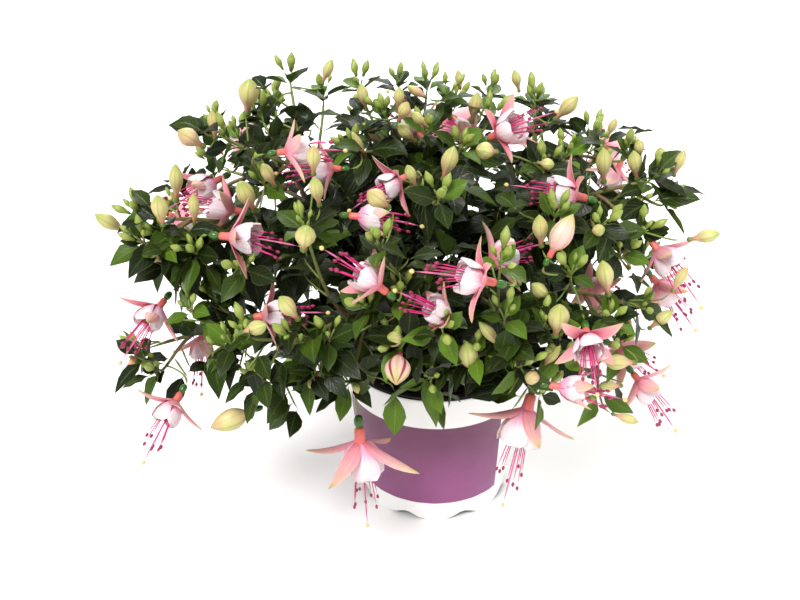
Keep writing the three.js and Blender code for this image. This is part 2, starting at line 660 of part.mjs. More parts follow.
function corollaSolid(bloom) {
  const { frame, size } = bloom;
  const profile = [...SKIRT_PROFILE, SKIRT_PROFILE[0]];
  const outline = profile.map(([ahead, radius]) => new THREE.Vector2(radius, ahead));
  const shape = new THREE.LatheGeometry(outline, 2 * SKIRT_PETALS);
  shape.deleteAttribute("normal");
  shape.deleteAttribute("uv");
  const solid = mergeVertices(shape, 1e-3);
  const places = solid.attributes.position;
  for (let i = 0; i < places.count; i += 1) {
    const turn = Math.atan2(places.getZ(i), places.getX(i));
    const radius = Math.hypot(places.getX(i), places.getZ(i));
    const ahead = places.getY(i);
    const wave = ahead > 6 ? 1 + SKIRT_WAVE * Math.cos(SKIRT_PETALS * turn) : 1;
    const place = bloom.throat.clone().addScaledVector(frame.ahead, CLEARANCE + size * ahead * wave);
    const thick = size * radius * wave;
    place.add(blend([frame.side, -thick * Math.cos(turn)], [frame.top, thick * Math.sin(turn)]));
    places.setXYZ(i, place.x, place.y, place.z);
  }
  return solid;
}

// A sepal leaves the throat and bends back, its tip aiming `spread` degrees from the bloom's axis
function sepalSolid(bloom, turn, stations) {
  const { frame, size, spread, sepal } = bloom;
  const away = blend([frame.side, Math.cos(turn)], [frame.top, Math.sin(turn)]);
  const across = new THREE.Vector3().crossVectors(frame.ahead, away);
  const first = spread > 50 ? 60 : Math.min(35, spread + 20);
  const aim = (along) => THREE.MathUtils.degToRad(first + (spread - first) * along);
  const rib = (along) => {
    const place = bloom.throat.clone().add(blend([frame.ahead, -1], [away, 1.6 * size]));
    const steps = 8;
    for (let k = 0; k < steps; k += 1) {
      const bend = aim(((k + 0.5) / steps) * along);
      const stride = (sepal * along) / steps;
      place.add(blend([frame.ahead, stride * Math.cos(bend)], [away, stride * Math.sin(bend)]));
    }
    return place;
  };
  return blade(stations, (along, edge) => {
    const bend = aim(along);
    const outer = blend([frame.ahead, -Math.sin(bend)], [away, Math.cos(bend)]);
    const half = 0.5 * SEPAL_WIDTH * size * Math.sin(Math.PI * along) ** 0.6;
    const keel = edge || along % 1 === 0 ? 0 : SEPAL_THICKNESS;
    return rib(along).add(blend([across, half * edge], [outer, keel]));
  });
}

// Stamens and the style hang a little under their own weight; each ends in a thicker anther or stigma
function threadSolid(bloom, turn, lean, length, knob) {
  const { frame, size } = bloom;
  const away = blend([frame.side, Math.cos(turn)], [frame.top, Math.sin(turn)]);
  return grown(3, [0.9], (along, cos, sin, ring) => {
    const place = bloom.throat.clone().addScaledVector(frame.ahead, -THREAD_ROOT);
    const reach = size * along;
    place.add(blend([frame.ahead, length * reach], [away, lean * reach], [UP, -3 * along * along]));
    const thick = ring === 1 ? knob : 0;
    return place.add(blend([frame.side, thick * cos], [frame.top, thick * sin]));
  });
}

function bloomOf([name, seatAt, mouthAt, size, spread, roll, sepal = SEPAL_LENGTH * size]) {
  const seat = point(seatAt);
  const frame = bloomFrame(seat, point(mouthAt), roll);
  const throat = seat.clone().addScaledVector(frame.ahead, TUBE_LENGTH * size);
  return { name, seat, size, spread, frame, throat, sepal };
}

function sepalSolids(bloom, stations) {
  return [0.5, 1.5, 2.5, 3.5].map((quarter) => sepalSolid(bloom, (quarter * Math.PI) / 2, stations));
}

const styleSolid = (bloom) => threadSolid(bloom, 0, 0, STYLE_LENGTH, 1.2);

function stamenSolids(bloom) {
  const stamens = [];
  for (let k = 0; k < STAMENS; k += 1) {
    const turn = (2 * Math.PI * (k + 0.3)) / STAMENS;
    stamens.push(threadSolid(bloom, turn, 5, STAMEN_LENGTH + 3 * (k % 2), 1.1));
  }
  return stamens;
}

// A bloom about to open: its four sepals still meet in a long balloon ahead of the tube
const BALLOON_PROFILE = [
  ...TUBE_PROFILE,
  [TUBE_LENGTH + 9, 7.5, 0],
  [TUBE_LENGTH + 22, 5.5, 0],
];
const balloonSolid = (bloom) => bellSolid(bloom, BALLOON_PROFILE, 6);

const joints = [];
const shoots = BRANCHES.map((branch, index) => {
  const main = mainPath(branch.foot, point(branch.tips[0]));
  const paths = [main, ...branch.tips.slice(1).map((tip) => sidePath(main, point(tip)))];
  for (const path of paths) {
    for (let step = 8; step <= 19; step += 1) {
      joints.push({ place: path.getPoint((step / 19) * LAST_JOINT), branch: index });
    }
  }
  return paths;
});

// Every piece as it is placed: the node it belongs to, its solid and its box
const pieces = [];
function place(node, shape) {
  const solid = solidOf(shape);
  const { min, max } = solid.boundingBox();
  pieces.push({ node, solid, min, max });
}

for (const row of BLOOMS) {
  const bloom = bloomOf(row);
  const node = `bloom_${bloom.name}`;
  if (TWO_COLOURED.includes(bloom.name)) {
    const sepals = sepalSolids(bloom, [0.25, 0.65]);
    for (const shape of [bellSolid(bloom, TUBE_PROFILE, 5), ...sepals, ...stamenSolids(bloom)]) {
      place(`${node}_calyx`, shape);
    }
    place(`${node}_calyx`, styleSolid(bloom));
    place(`${node}_corolla`, corollaSolid(bloom));
  } else if (bloom.spread < CLOSED) {
    place(node, balloonSolid(bloom));
  } else {
    place(node, bellSolid(bloom, BELL_PROFILE, 6));
    for (const shape of sepalSolids(bloom, [0.45])) place(node, shape);
    place(node, styleSolid(bloom));
  }
}

shoots.forEach((paths, index) => {
  paths.forEach((path, k) => {
    const node = `branch_${BRANCHES[index].name}`;
    if (k === 0) place(node, stem(path, MAIN_STEM_RADIUS, 4, MAIN_STATIONS));
    else place(node, stem(path, SHOOT_RADIUS, 3, SHOOT_STATIONS));
  });
});

for (const row of BLOOMS) {
  const bloom = bloomOf(row);
  const joint = nearestJoint(joints, ovaryBack(bloom), LEAST_OVARY_STALK);
  place(`branch_${BRANCHES[joint.branch].name}`, ovarySolid(joint.place, bloom));
}

for (const [seatAt, tipAt, girth] of FULL_BUDS) {
  const seat = point(seatAt);
  const joint = nearestJoint(joints, seat, LEAST_BUD_STALK);
  place(`branch_${BRANCHES[joint.branch].name}`, budSolid(joint.place, seat, point(tipAt), girth));
}

shoots.forEach((paths, index) => {
  paths.forEach((path, k) => {
    const node = `branch_${BRANCHES[index].name}`;
    if (node.startsWith("branch_back") && k % 2 === 0) place(node, tipBud(path, 1000 * index + 10 * k + 3));
  });
});

// An outline leaf grows from the nearest joint; its upper side faces up and away from the plant's middle
for (const [rootAt, tipAt] of OUTLINE_LEAVES) {
  const root = point(rootAt);
  const out = toward(root, point(tipAt));
  const joint = nearestJoint(joints, root, 0);
  const outward = new THREE.Vector3(root.x, root.y, 0).normalize();
  const lean = blend([UP, 0.8], [outward, 0.6]);
  const face = lean.addScaledVector(out, -lean.dot(out)).normalize();
  const length = root.distanceTo(point(tipAt));
  const leaf = { root, out, face, length, droop: 0.06 };
  place(`branch_${BRANCHES[joint.branch].name}`, stalkedLeafSolid(joint.place, leaf));
}

const overlaps = (a, b) => [0, 1, 2].every((i) => a.min[i] < b.max[i] && b.min[i] < a.max[i]);

// Leaves, outermost first, each well apart from the others and clear of every other node
const candidates = [];
shoots.forEach((paths, index) => {
  paths.forEach((path, k) => {
    for (const leaf of leavesOn(path, k === 0 ? BARE_STEM : BARE_SHOOT, 1000 * index + 10 * k + 7)) {
      const middle = leafPlace(leaf, 0.55, 0, 0);
      const [wide, deep, high] = BUSH_REACH;
      const reach = Math.hypot(middle.x / wide, middle.y / deep, (middle.z - BUSH_MIDDLE) / high);
      candidates.push({ node: `branch_${BRANCHES[index].name}`, leaf, middle, reach });
    }
  });
});
candidates.sort((a, b) => b.reach - a.reach);
const kept = [];
for (const { node, leaf, middle } of candidates) {
  if (kept.length >= MOST_LEAVES) break;
  if (kept.some((other) => other.distanceTo(middle) < LEAF_APART)) continue;
  const solid = solidOf(leafSolid(leaf, [0.5]));
  const { min, max } = solid.boundingBox();
  const piece = { node, solid, min, max };
  const crossed = pieces.some((other) => other.node !== node && overlaps(piece, other)
    && solid.intersect(other.solid).volume() > 0);
  if (crossed) continue;
  kept.push(middle);
  pieces.push(piece);
}

const plant = new THREE.Group();
plant.add(meshOf("inner_pot", makePot(), BLACK_PLASTIC));
plant.add(meshOf("pot_cover", makeCover(), WHITE_COVER));
plant.add(meshOf("soil", makeSoil(BRANCHES.map((branch) => branch.foot)), COMPOST));
for (const node of new Set(pieces.map((piece) => piece.node))) {
  const solids = pieces.filter((piece) => piece.node === node).map((piece) => piece.solid);
  let material = PINK_CALYX;
  if (node.startsWith("branch")) material = FOLIAGE;
  if (node.endsWith("corolla")) material = WHITE_COROLLA;
  plant.add(meshOf(node, fuse(solids), material));
}

export default plant;
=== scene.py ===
"""Potted fuchsia: a bushy plant with hanging pink and white blooms in a pot with a white cover."""
import math

import bmesh
import bpy
import numpy as np
from mathutils import Matrix, Vector, noise


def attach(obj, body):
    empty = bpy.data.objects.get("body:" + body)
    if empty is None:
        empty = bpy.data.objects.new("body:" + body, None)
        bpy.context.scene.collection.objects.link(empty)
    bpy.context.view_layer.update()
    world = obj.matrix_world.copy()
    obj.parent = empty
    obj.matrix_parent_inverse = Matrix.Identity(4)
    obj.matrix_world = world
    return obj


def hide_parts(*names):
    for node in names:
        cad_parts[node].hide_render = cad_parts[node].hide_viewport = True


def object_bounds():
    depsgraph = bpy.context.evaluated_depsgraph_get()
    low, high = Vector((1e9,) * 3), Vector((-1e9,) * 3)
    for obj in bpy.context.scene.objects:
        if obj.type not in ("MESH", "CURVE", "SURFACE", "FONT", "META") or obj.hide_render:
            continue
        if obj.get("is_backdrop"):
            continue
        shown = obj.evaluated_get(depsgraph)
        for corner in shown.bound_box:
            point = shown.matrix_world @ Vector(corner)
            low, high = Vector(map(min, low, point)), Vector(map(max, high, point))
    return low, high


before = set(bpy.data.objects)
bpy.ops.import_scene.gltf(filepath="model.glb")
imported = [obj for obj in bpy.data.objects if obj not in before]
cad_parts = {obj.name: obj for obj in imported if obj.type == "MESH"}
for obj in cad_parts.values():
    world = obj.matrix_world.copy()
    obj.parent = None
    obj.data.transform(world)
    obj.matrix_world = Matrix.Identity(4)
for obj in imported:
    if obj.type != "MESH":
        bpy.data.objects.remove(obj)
cad_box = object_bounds()

bl_info = {
    "name": "Potted fuchsia",
    "version": (1, 0, 0),
    "blender": (4, 5, 0),
    "location": "View3D > Sidebar > Fuchsia",
    "description": "Builds a potted fuchsia from its branches, blooms and buds",
    "category": "Add Mesh",
}

MM = 0.001
UP = np.array((0.0, 0.0, 1.0))

# The pot, its cover and the soil, in millimetres
POT_HEIGHT = 103.5
POT_TOP_RADIUS = 56.0
POT_BOTTOM_RADIUS = 45.0
POT_WALL = 1.4
POT_FLOOR = 2.5
POT_SIDES = 96
FOOT_RADIUS = 36
FOOT_HEIGHT = 2
RIM_HEIGHT = 7.0
RIM_ROUND = 0.7
LIP_ROUND = 0.8
COVER_HEIGHT = 102.0
COVER_TOP_RADIUS = 60.0
COVER_BOTTOM_RADIUS = 50.0
COVER_WALL = 1.0
COVER_SIDES = 160
COVER_STATIONS = (0, 0.5, 2, 5, 9, 14, 25, 40, 55, 70, 85, 95, 100, 101.4)
COVER_OUTER_ROUND = 0.3
COVER_INNER_ROUND = 0.2
SOIL_TOP = 92.0
SOIL_SIDES = 90
SOIL_RINGS = 26
CRUMBS = 620
LARGEST_CRUMB = 3
WHITE_SHARE = 0.07
CLEARANCE = 0.3
HOLE_DEPTH = 14.0

# The cover's hem has lobes that fade out upwards, and its foot has shallow flutes that do so too
HEM_LOBES = 8
HEM_DEPTH = 5.0
HEM_FADE = 20
FLUTES = 24
FLUTE_DEPTH = 0.004
FLUTE_FADE = 30

# Edges of the pot, its cover and the soil that bend by more degrees than this are sharp
SHARP_ANGLE = 40

# The cover's purple band: where it ends at the left and at the right in degrees from the front, how much
# further left its right end is for each millimetre of height, how soft its edges are in millimetres and
# degrees, and the heights between which its colour changes
BAND_LEFT_END = -165
BAND_RIGHT_END = 54
BAND_SLANT = 0.08
BAND_SOFT = 0.25
BAND_END_SOFT = 0.2
BAND_SHADE = (18, 78)

# How far a main stem rises straight up at least, how long a side shoot is at least, where along a main stem a
# shoot may fork off, and the detour in millimetres that is as bad as a fork square to the stem
LEAST_RISE = 75.0
LEAST_SHOOT = 20
FORKS = [step / 20 for step in range(7, 18)]
SHARP_FORK = 50

# The radii of the stems at their foot, their number of rings, and how much thicker every other ring is
MAIN_STEM_RADIUS = 1.8
SHOOT_RADIUS = 1.3
STEM_STATIONS = 14
KNOT = 0.16

# Where leaves start along a stem or twig, as a share of its length, and how far apart pairs of leaves stand
BARE_STEM = 0.22
BARE_SHOOT = 0.15
BARE_TWIG = 0.4
BARE_INNER_TWIG = 0.2
LEAF_SPACING = 23.0

# Where side twigs leave a stem, and the even steps along it, up to its last joint, where stalks can join it
TWIG_PLACES = (0.3, 0.52, 0.72)
LAST_JOINT = 0.94
JOINT_STEPS = 19
FIRST_JOINT_STEP = 8

# A leaf next to a tip has this share of its full size, and it is grown this far behind the tip. Leaves on
# twigs are longer than those on stems.
TIP_LEAF_SHARE = 0.62
GROWN_AFTER = 60
TWIG_LEAF = 1.15
INNER_TWIG_LEAF = 1.25

# How far an ovary and a full bud sit from a stem at least, the girth that a full bud has more than, and the
# size of the ovary of a bloom of size 1
LEAST_OVARY_STALK = 10
LEAST_BUD_STALK = 5
FULL_GIRTH = 6
OVARY_LENGTH = 5.5
OVARY_RADIUS = 2.1

# The radii of stalks and twigs at even steps along their length
BUD_STALK = (0, 0.6, 0.55, 0.55, 0.6, 0)
OVARY_STALK = (0, 0.7, 0.6, 0.55, 0.55, 0.6, 0.65, 0.8, 0)
LEAF_STALK = (0, 0.7, 0.6, 0.6, 0.6, 0)
TWIG_RADII = (0, 0.7, 0.6, 0.5, 0)

# The parts of a bloom of size 1, in millimetres, and how far round it a petal reaches each way in degrees
TUBE_LENGTH = 7.0
THROAT_RADIUS = 2.6
SEPALS = 4
SEPAL_LENGTH = 23.0
SEPAL_WIDTH = 9.0
COROLLA_LENGTH = 15.0
COROLLA_RADIUS = 8.5
COROLLA_FOOT = 2.0
COROLLA_MIDDLE = 8
BALLOON_LENGTH = 26
STAMEN_LENGTH = 24.0
STYLE_LENGTH = 37.0
PETALS = 8
PETAL_WRAP = 46
STAMENS = 8
KNOB_LENGTH = 2.4

# A bloom whose sepals bend back by this many degrees or less is still a balloon. Petals curve in again at
# their ends, and less on the blooms that are open widest.
CLOSED = 15
BELL = 0.64
WIDE_BELL = 0.5

# How far around a bloom of size 1 no leaf stands, how far that holds in front of it, and where a leaf is
# measured along its length
CLEAR_AROUND = 12.0
OPEN_AIR = 70.0
LEAF_CHECKS = (0.35, 0.7, 1.0)

# The bush's middle, its reach each way, and how thin its leaves are past a share of that reach. Its blooms
# face away from its heart.
BUSH_MIDDLE = np.array((-17.0, 3.0, 140.0))
BUSH_REACH = np.array((172.0, 150.0, 150.0))
BUSH_HEART = np.array((0, 10, 120))
THIN_PAST = 0.64
THINNED = 0.5

# Short leafy twigs close the middle of the bush: how many, how far out, how low, and how long at least
INNER_TWIGS = 110
INNER_SHARE = 0.66
INNER_LOWEST = 128.0
INNER_TWIG_REACH = 16.0

# Each draw is the last one times a factor plus a step, wrapped round at the range
DRAW_FACTOR = 1664525
DRAW_STEP = 1013904223
DRAW_RANGE = 2**32

# Where the draws of each kind of growth start, and how far apart they are for each of its numbers
SEEDS = {
    "leaves": (7, 1000, 10), "tip": (3, 1000, 10), "tint": (3, 500, 50), "twigs": (9, 7000, 70),
    "twig leaves": (1, 9000, 90, 13), "inner twig": (17000, 37), "inner tint": (17001, 37),
    "inner spots": (271,), "bloom": (11, 60), "threads": (31, 60), "bud": (5, 977), "crumbs": (4711,),
}
THINNING_SEED = 5

# The camera stands where the photograph was taken from, in metres, and looks down at the plant
CAMERA_PLACE = (-0.0237, -0.6407, 0.4895)
CAMERA_TILT = 61.54
CAMERA_LENS = 50
CAMERA_SENSOR = 36

# Soft light: a wide sun that lights the whole floor, and two lamps: where each stands and how wide it is,
# in metres, and its power
SUN_PLACE = (-0.5, -0.9, 1.5)
SUN_STRENGTH = 3.95
SUN_WIDTH = 24
LAMPS = (
    ("fill", (1.2, -0.5, 1.0), 1.2, 10),
    ("back", (0.3, 1.2, 1.4), 1.0, 24),
)
PLANT_MIDDLE = (0, 0, 0.18)
ROOM_LIGHT = 0.4
FLOOR_REACH = 60

# The leafy branches: where each stem leaves the soil, and where its main tip and its side shoots end
BRANCHES = {
    "left_top": ((-14, 10), (
        (-123, -35, 263), (-90, 10, 286), (-107, 0, 266), (-101, -55, 246), (-131, -25, 269),
    )),
    "left": ((-24, 0), (
        (-170, -65, 230), (-156, -75, 222), (-166, -82, 222), (-137, -85, 217), (-109, -95, 212),
    )),
    "left_low": ((-22, -12), (
        (-178, -72, 147), (-142, -92, 184), (-168, -75, 134), (-118, -105, 170), (-126, -88, 158),
        (-132, -70, 180),
    )),
    "front_left": ((-12, -22), (
        (-78, -122, 180), (-106, -116, 182), (-62, -120, 182), (-74, -116, 157), (-101, -105, 144),
        (-74, -105, 241), (-53, -100, 141),
    )),
    "front": ((0, -26), (
        (-2, -130, 195), (-26, -122, 180), (-22, -114, 206), (-7, -112, 152), (-34, -118, 236),
        (-40, -122, 202),
    )),
    "front_right": ((12, -22), (
        (42, -124, 166), (32, -125, 198), (17, -122, 174), (56, -110, 140), (29, -118, 227),
        (55, -118, 188),
    )),
    "right_low": ((22, -12), (
        (114, -82, 181), (69, -106, 215), (101, -95, 164), (92, -100, 134), (95, -95, 181),
        (65, -112, 168),
    )),
    "right": ((26, 2), (
        (124, -35, 241), (86, -85, 233), (116, -55, 215), (133, -35, 225), (101, -75, 212),
        (62, -78, 236),
    )),
    "right_top": ((14, 12), (
        (94, 5, 248), (59, 15, 270), (74, -20, 249), (60, -40, 249), (112, -14, 246),
    )),
    "top": ((0, 14), (
        (-33, 0, 268), (5, 10, 276), (-3, -100, 256), (31, 10, 262), (-9, -10, 260), (-51, -10, 250),
        (12, -20, 254),
    )),
    "back_left": ((-20, 22), (
        (-150, 75, 205), (-110, 95, 235), (-170, 35, 190), (-95, 125, 180), (-135, 90, 150),
        (-165, 20, 150), (-75, 80, 255), (-105, 50, 258), (-128, 45, 236), (-85, 100, 140),
    )),
    "back": ((0, 30), (
        (-20, 140, 200), (-55, 120, 225), (15, 115, 235), (-25, 80, 262), (45, 130, 185),
        (-60, 140, 150), (5, 145, 140), (-50, 60, 266), (35, 70, 258), (-5, 110, 250), (-30, 120, 165),
    )),
    "back_right": ((20, 22), (
        (110, 80, 205), (75, 100, 225), (130, 40, 190), (65, 60, 255), (100, 95, 150), (135, 10, 165),
        (60, 125, 160), (100, 45, 238), (60, 95, 190), (120, 55, 150),
    )),
}

# The blooms: where the tube sits on its ovary, where the corolla opens to, the size, how far the sepals
# bend back and their turn about the axis in degrees, and their length where it is unusual
BLOOMS = (
    ("left_high", (-130, -18, 236), (-147, -30, 231), 1, 45, 0),
    ("left_big", (-123, -90, 231), (-98, -95, 231), 1.05, 65, 20),
    ("left_upper", (-114, -54, 229), (-128, -56, 234), 0.95, 60, 0),
    ("left_behind", (-167, -14, 210), (-155, -6, 201), 0.9, 60, 0),
    ("left_edge", (-161, -68, 180), (-173, -85, 169), 1, 60, 0),
    ("left_under", (-147, -40, 144), (-149, -48, 117), 0.9, 60, 0),
    ("left_rim", (-154, -85, 126), (-165, -102, 112), 1, 80, 0),
    ("top_left", (-90, -82, 276), (-76, -78, 276), 0.85, 70, 0),
    ("top_left_inner", (-57, -42, 251), (-70, -44, 252), 0.85, 80, 0),
    ("upper_middle", (-52, -88, 242), (-31, -90, 241), 0.9, 30, 0),
    ("front_left_middle", (-105, -106, 189), (-82, -108, 193), 0.95, 80, 0),
    ("middle", (-30, -129, 216), (-46, -129, 230), 1, 62, 20),
    ("upper_inner", (-19, -45, 248), (-36, -55, 243), 0.9, 80, 0),
    ("middle_low", (7, -126, 197), (-9, -129, 209), 0.95, 60, 45),
    ("middle_big", (25, -146, 231), (4, -148, 237), 1, 95, 0),
    ("middle_behind", (22, -85, 211), (41, -75, 214), 1, 80, 0),
    ("top_right_big", (28, -25, 263), (49, -38, 279), 1.1, 65, 0),
    ("top_middle", (28, 15, 247), (8, 25, 253), 0.95, 70, -8),
    ("top_middle_left", (-9, 16, 247), (-21, 26, 263), 0.9, 50, 0),
    ("right_upper", (83, -58, 239), (59, -60, 246), 1.1, 85, 0),
    ("right_upper_behind", (117, 20, 232), (108, 16, 213), 0.95, 70, 0),
    ("right_middle", (55, -112, 228), (66, -106, 248), 0.85, 12, 0),
    ("right_middle_behind", (84, -46, 174), (104, -34, 166), 1, 75, 0),
    ("right_edge", (123, -52, 210), (133, -62, 200), 1.05, 75, 0),
    ("right_edge_low", (129, -38, 180), (147, -42, 161), 1, 70, 0),
    ("right_front", (77, -118, 189), (77, -140, 183), 1, 90, 0),
    ("right_behind", (103, -60, 145), (126, -54, 129), 1.1, 85, 0),
    ("right_low", (58, -124, 156), (85, -128, 154), 0.95, 25, 0),
    ("right_rim", (113, -85, 140), (128, -92, 123), 0.95, 80, 0),
    ("front_right", (53, -98, 134), (48, -105, 116), 1.5, 80, 0),
    ("front_left", (-48, -95, 108), (-46, -101, 71), 1.45, 75, 0, 40),
    ("left_opening", (-109, -95, 120), (-138, -106, 113), 0.9, 8, 0),
    ("front_opening", (-24, -122, 176), (-25, -136, 174), 0.85, 8, 0),
    ("back_left_high", (-128, 98, 222), (-142, 114, 208), 1, 85, 0),
    ("back_left_low", (-110, 110, 150), (-118, 125, 125), 1, 80, 0),
    ("back_middle", (-32, 142, 182), (-36, 160, 166), 1, 85, 0),
    ("back_top", (10, 80, 240), (15, 98, 225), 1, 80, 0),
    ("back_right_high", (118, 92, 216), (132, 106, 200), 1, 85, 0),
    ("back_right_low", (95, 105, 145), (105, 118, 122), 1, 80, 0),
)

# The blooms whose petals open widest
WIDE_OPEN = ("front_right", "right_front", "left_big")

# The blooms about to open: how ripe each one's colour is; the ripest shows dark red between its sepals
OPENING = {"left_opening": 0.68, "right_middle": 0.85, "front_opening": 1.0}

# The showiest blooms, each with one piece for its pink calyx and one for its white corolla
TWO_COLOURED = ("left_big", "middle_big", "top_right_big", "front_right", "front_left")

# The full buds: where each sits on its stalk, where it points, and how thick it is
FULL_BUDS = (
    ((-116, 0, 268), (-112, -4, 293), 15), ((-130, -35, 266), (-130, -38, 285), 8),
    ((-135, -40, 263), (-148, -50, 277), 12.5), ((-71, 10, 284), (-64, 8, 301), 7.5),
    ((-69, -98, 269), (-68, -102, 288), 9), ((-66, -102, 253), (-68, -108, 273), 9),
    ((-93, -66, 249), (-99, -72, 266), 8.5), ((-105, -68, 235), (-111, -80, 259), 12.5),
    ((-150, -62, 238), (-148, -64, 263), 9.5), ((-153, -88, 235), (-153, -94, 257), 11),
    ((-179, -62, 219), (-195, -70, 235), 10), ((-138, -78, 231), (-136, -82, 253), 7.5),
    ((-156, -82, 211), (-165, -90, 221), 8.5), ((-110, -120, 187), (-94, -130, 198), 10),
    ((-77, -128, 199), (-86, -136, 218), 10.5), ((-184, -74, 145), (-183, -78, 133), 9.5),
    ((-74, -120, 236), (-71, -128, 254), 13), ((-29, -108, 255), (-40, -118, 269), 11.5),
    ((-15, -86, 258), (-20, -92, 273), 7.5), ((0, -62, 251), (6, -66, 274), 11),
    ((-25, -20, 271), (-19, -24, 285), 9), ((-25, -16, 277), (-24, -18, 292), 7.5),
    ((-44, 0, 271), (-47, -2, 289), 8.5), ((-7, 0, 279), (-20, -6, 289), 6),
    ((13, 12, 280), (11, 10, 294), 5.5), ((20, 8, 260), (23, 4, 282), 10),
    ((-7, -24, 269), (-17, -30, 281), 7), ((-44, -20, 250), (-52, -26, 268), 6),
    ((-36, -2, 251), (-46, -6, 266), 9), ((-14, -10, 255), (-25, -16, 269), 9.5),
    ((32, -45, 262), (19, -56, 268), 12), ((-21, -120, 182), (-30, -132, 191), 10.5),
    ((-43, -96, 137), (-50, -108, 145), 10), ((-69, -112, 158), (-73, -118, 147), 11.5),
    ((16, -120, 159), (12, -126, 185), 12.5), ((33, -122, 177), (18, -128, 199), 7.5),
    ((54, -120, 160), (45, -132, 165), 9.5), ((54, -116, 161), (64, -120, 179), 7),
    ((40, -118, 215), (34, -122, 231), 8.5), ((49, 14, 278), (45, 13, 293), 7),
    ((69, 2, 264), (82, -4, 282), 10.5), ((104, 10, 250), (108, 8, 264), 6.5),
    ((97, -30, 236), (94, -34, 261), 11), ((116, -32, 239), (111, -36, 260), 10),
    ((118, -26, 250), (115, -28, 264), 7), ((133, -18, 242), (130, -20, 256), 8.5),
    ((136, -36, 243), (140, -38, 261), 7.5), ((54, -48, 257), (63, -56, 259), 8),
    ((53, -98, 227), (50, -102, 249), 10), ((81, -86, 231), (86, -96, 238), 8),
    ((60, -104, 197), (47, -112, 213), 9.5), ((61, -118, 183), (61, -126, 208), 14),
    ((92, -98, 197), (85, -106, 224), 11.5), ((109, -68, 199), (105, -72, 216), 7.5),
    ((127, -96, 199), (133, -100, 217), 7.5), ((120, -82, 167), (132, -86, 182), 9),
    ((111, -102, 157), (90, -114, 165), 11), ((105, -100, 140), (89, -112, 148), 7.5),
    ((97, -112, 129), (112, -118, 127), 7), ((140, -66, 217), (157, -72, 224), 10),
)

# Leaves that shape the plant's outline: where each blade starts and where its point is
OUTLINE_LEAVES = (
    ((-26, -96, 134), (-27, -101, 103)), ((-9, -92, 133), (4, -100, 107)),
    ((-174, -72, 130), (-193, -80, 125)), ((-132, -95, 158), (-127, -104, 134)),
    ((-110, -100, 145), (-126, -110, 133)), ((-106, -98, 139), (-114, -106, 115)),
    ((-104, -96, 141), (-90, -102, 125)), ((-56, -98, 137), (-75, -106, 124)),
    ((-94, 5, 280), (-113, -4, 272)), ((-84, 8, 282), (-65, 4, 277)), ((-78, 6, 267), (-56, 2, 269)),
    ((-124, -40, 260), (-128, -48, 249)), ((-163, -78, 216), (-172, -86, 206)),
    ((126, -35, 238), (142, -42, 227)), ((119, -38, 231), (99, -50, 227)),
    ((102, 2, 249), (116, -2, 243)), ((120, -82, 179), (135, -90, 165)), ((11, 8, 273), (32, 2, 272)),
    ((-34, -4, 267), (-55, -12, 262)), ((-31, -8, 257), (-17, -16, 247)),
    ((82, -8, 246), (59, -16, 248)), ((-133, -85, 212), (-123, -92, 196)),
)


# How the plant grows, all in millimetres


def seed_of(kind, *numbers):
    """The seed of one growth, told from the others of its kind by its numbers."""
    first, *steps = SEEDS[kind]
    return first + sum(step * number for step, number in zip(steps, numbers))


def draws_from(seed):
    """A function whose calls give repeatable draws between 0 and 1."""
    state = seed

    def draw():
        nonlocal state
        state = (state * DRAW_FACTOR + DRAW_STEP) % DRAW_RANGE
        return state / DRAW_RANGE

    return draw


def unit(vector):
    """The vector with a length of 1, or each one of a list of vectors."""
    return vector / np.linalg.norm(vector, axis=-1, keepdims=True)


def toward(start, end):
    """The direction from one place to another."""
    return unit(np.asarray(end, float) - np.asarray(start, float))


def square_to(first, last):
    """A direction square to the way a gently bent line bends, so that rings along it don't twist."""
    bend = np.cross(first, last)
    if np.linalg.norm(bend) < 0.1:
        bend = np.cross(first, (1.0, 0.0, 0.0) if abs(first[2]) > 0.9 else UP)
    return unit(bend)


def axes_about(ahead):
    """Two axes (side, top) square to a direction, the top as near to upright as can be."""
    side = np.cross(UP, ahead)
    if np.linalg.norm(side) < 0.05:
        side = np.cross((0.0, 1.0, 0.0), ahead)
    side = unit(side)
    return side, np.cross(ahead, side)


def around(axes, turn):
    """The direction at a turn about the line that the two axes are square to."""
    side, top = axes
    return side * math.cos(turn) + top * math.sin(turn)


def facing(lean, out):
    """The upper side of a leaf that runs along `out` and leans as near to `lean` as can be."""
    return unit(lean - out * (lean @ out))


class Bend:
    """A gently bent line from four handles."""

    def __init__(self, *handles):
        self.handles = np.array(handles, float)

    def at(self, share):
        t = np.asarray(share, float)[..., None]
        a, b, c, d = self.handles
        return a * (1 - t) ** 3 + 3 * b * t * (1 - t) ** 2 + 3 * c * t**2 * (1 - t) + d * t**3

    def aim(self, share):
        step = 1e-3
        low = np.clip(np.asarray(share, float) - step, 0, 1)
        return unit(self.at(np.clip(low + 2 * step, 0, 1)) - self.at(low))

    def length(self):
        spots = self.at(np.linspace(0, 1, 21))
        return float(np.linalg.norm(np.diff(spots, axis=0), axis=1).sum())


def main_path(foot, tip):
    """A main stem rises straight out of the soil and arches out to its tip."""
    start = np.array((foot[0], foot[1], SOIL_TOP - HOLE_DEPTH + CLEARANCE))
    tip = np.array(tip, float)
    reach = tip - start
    rise = max(LEAST_RISE, 0.55 * reach[2] + 35)
    arch = 30 - 0.3 * (tip[2] - SOIL_TOP)
    shoulder = (tip[0] - 0.4 * reach[0], tip[1] - 0.4 * reach[1], tip[2] + arch)
    return Bend(start, start + UP * rise, shoulder, tip)


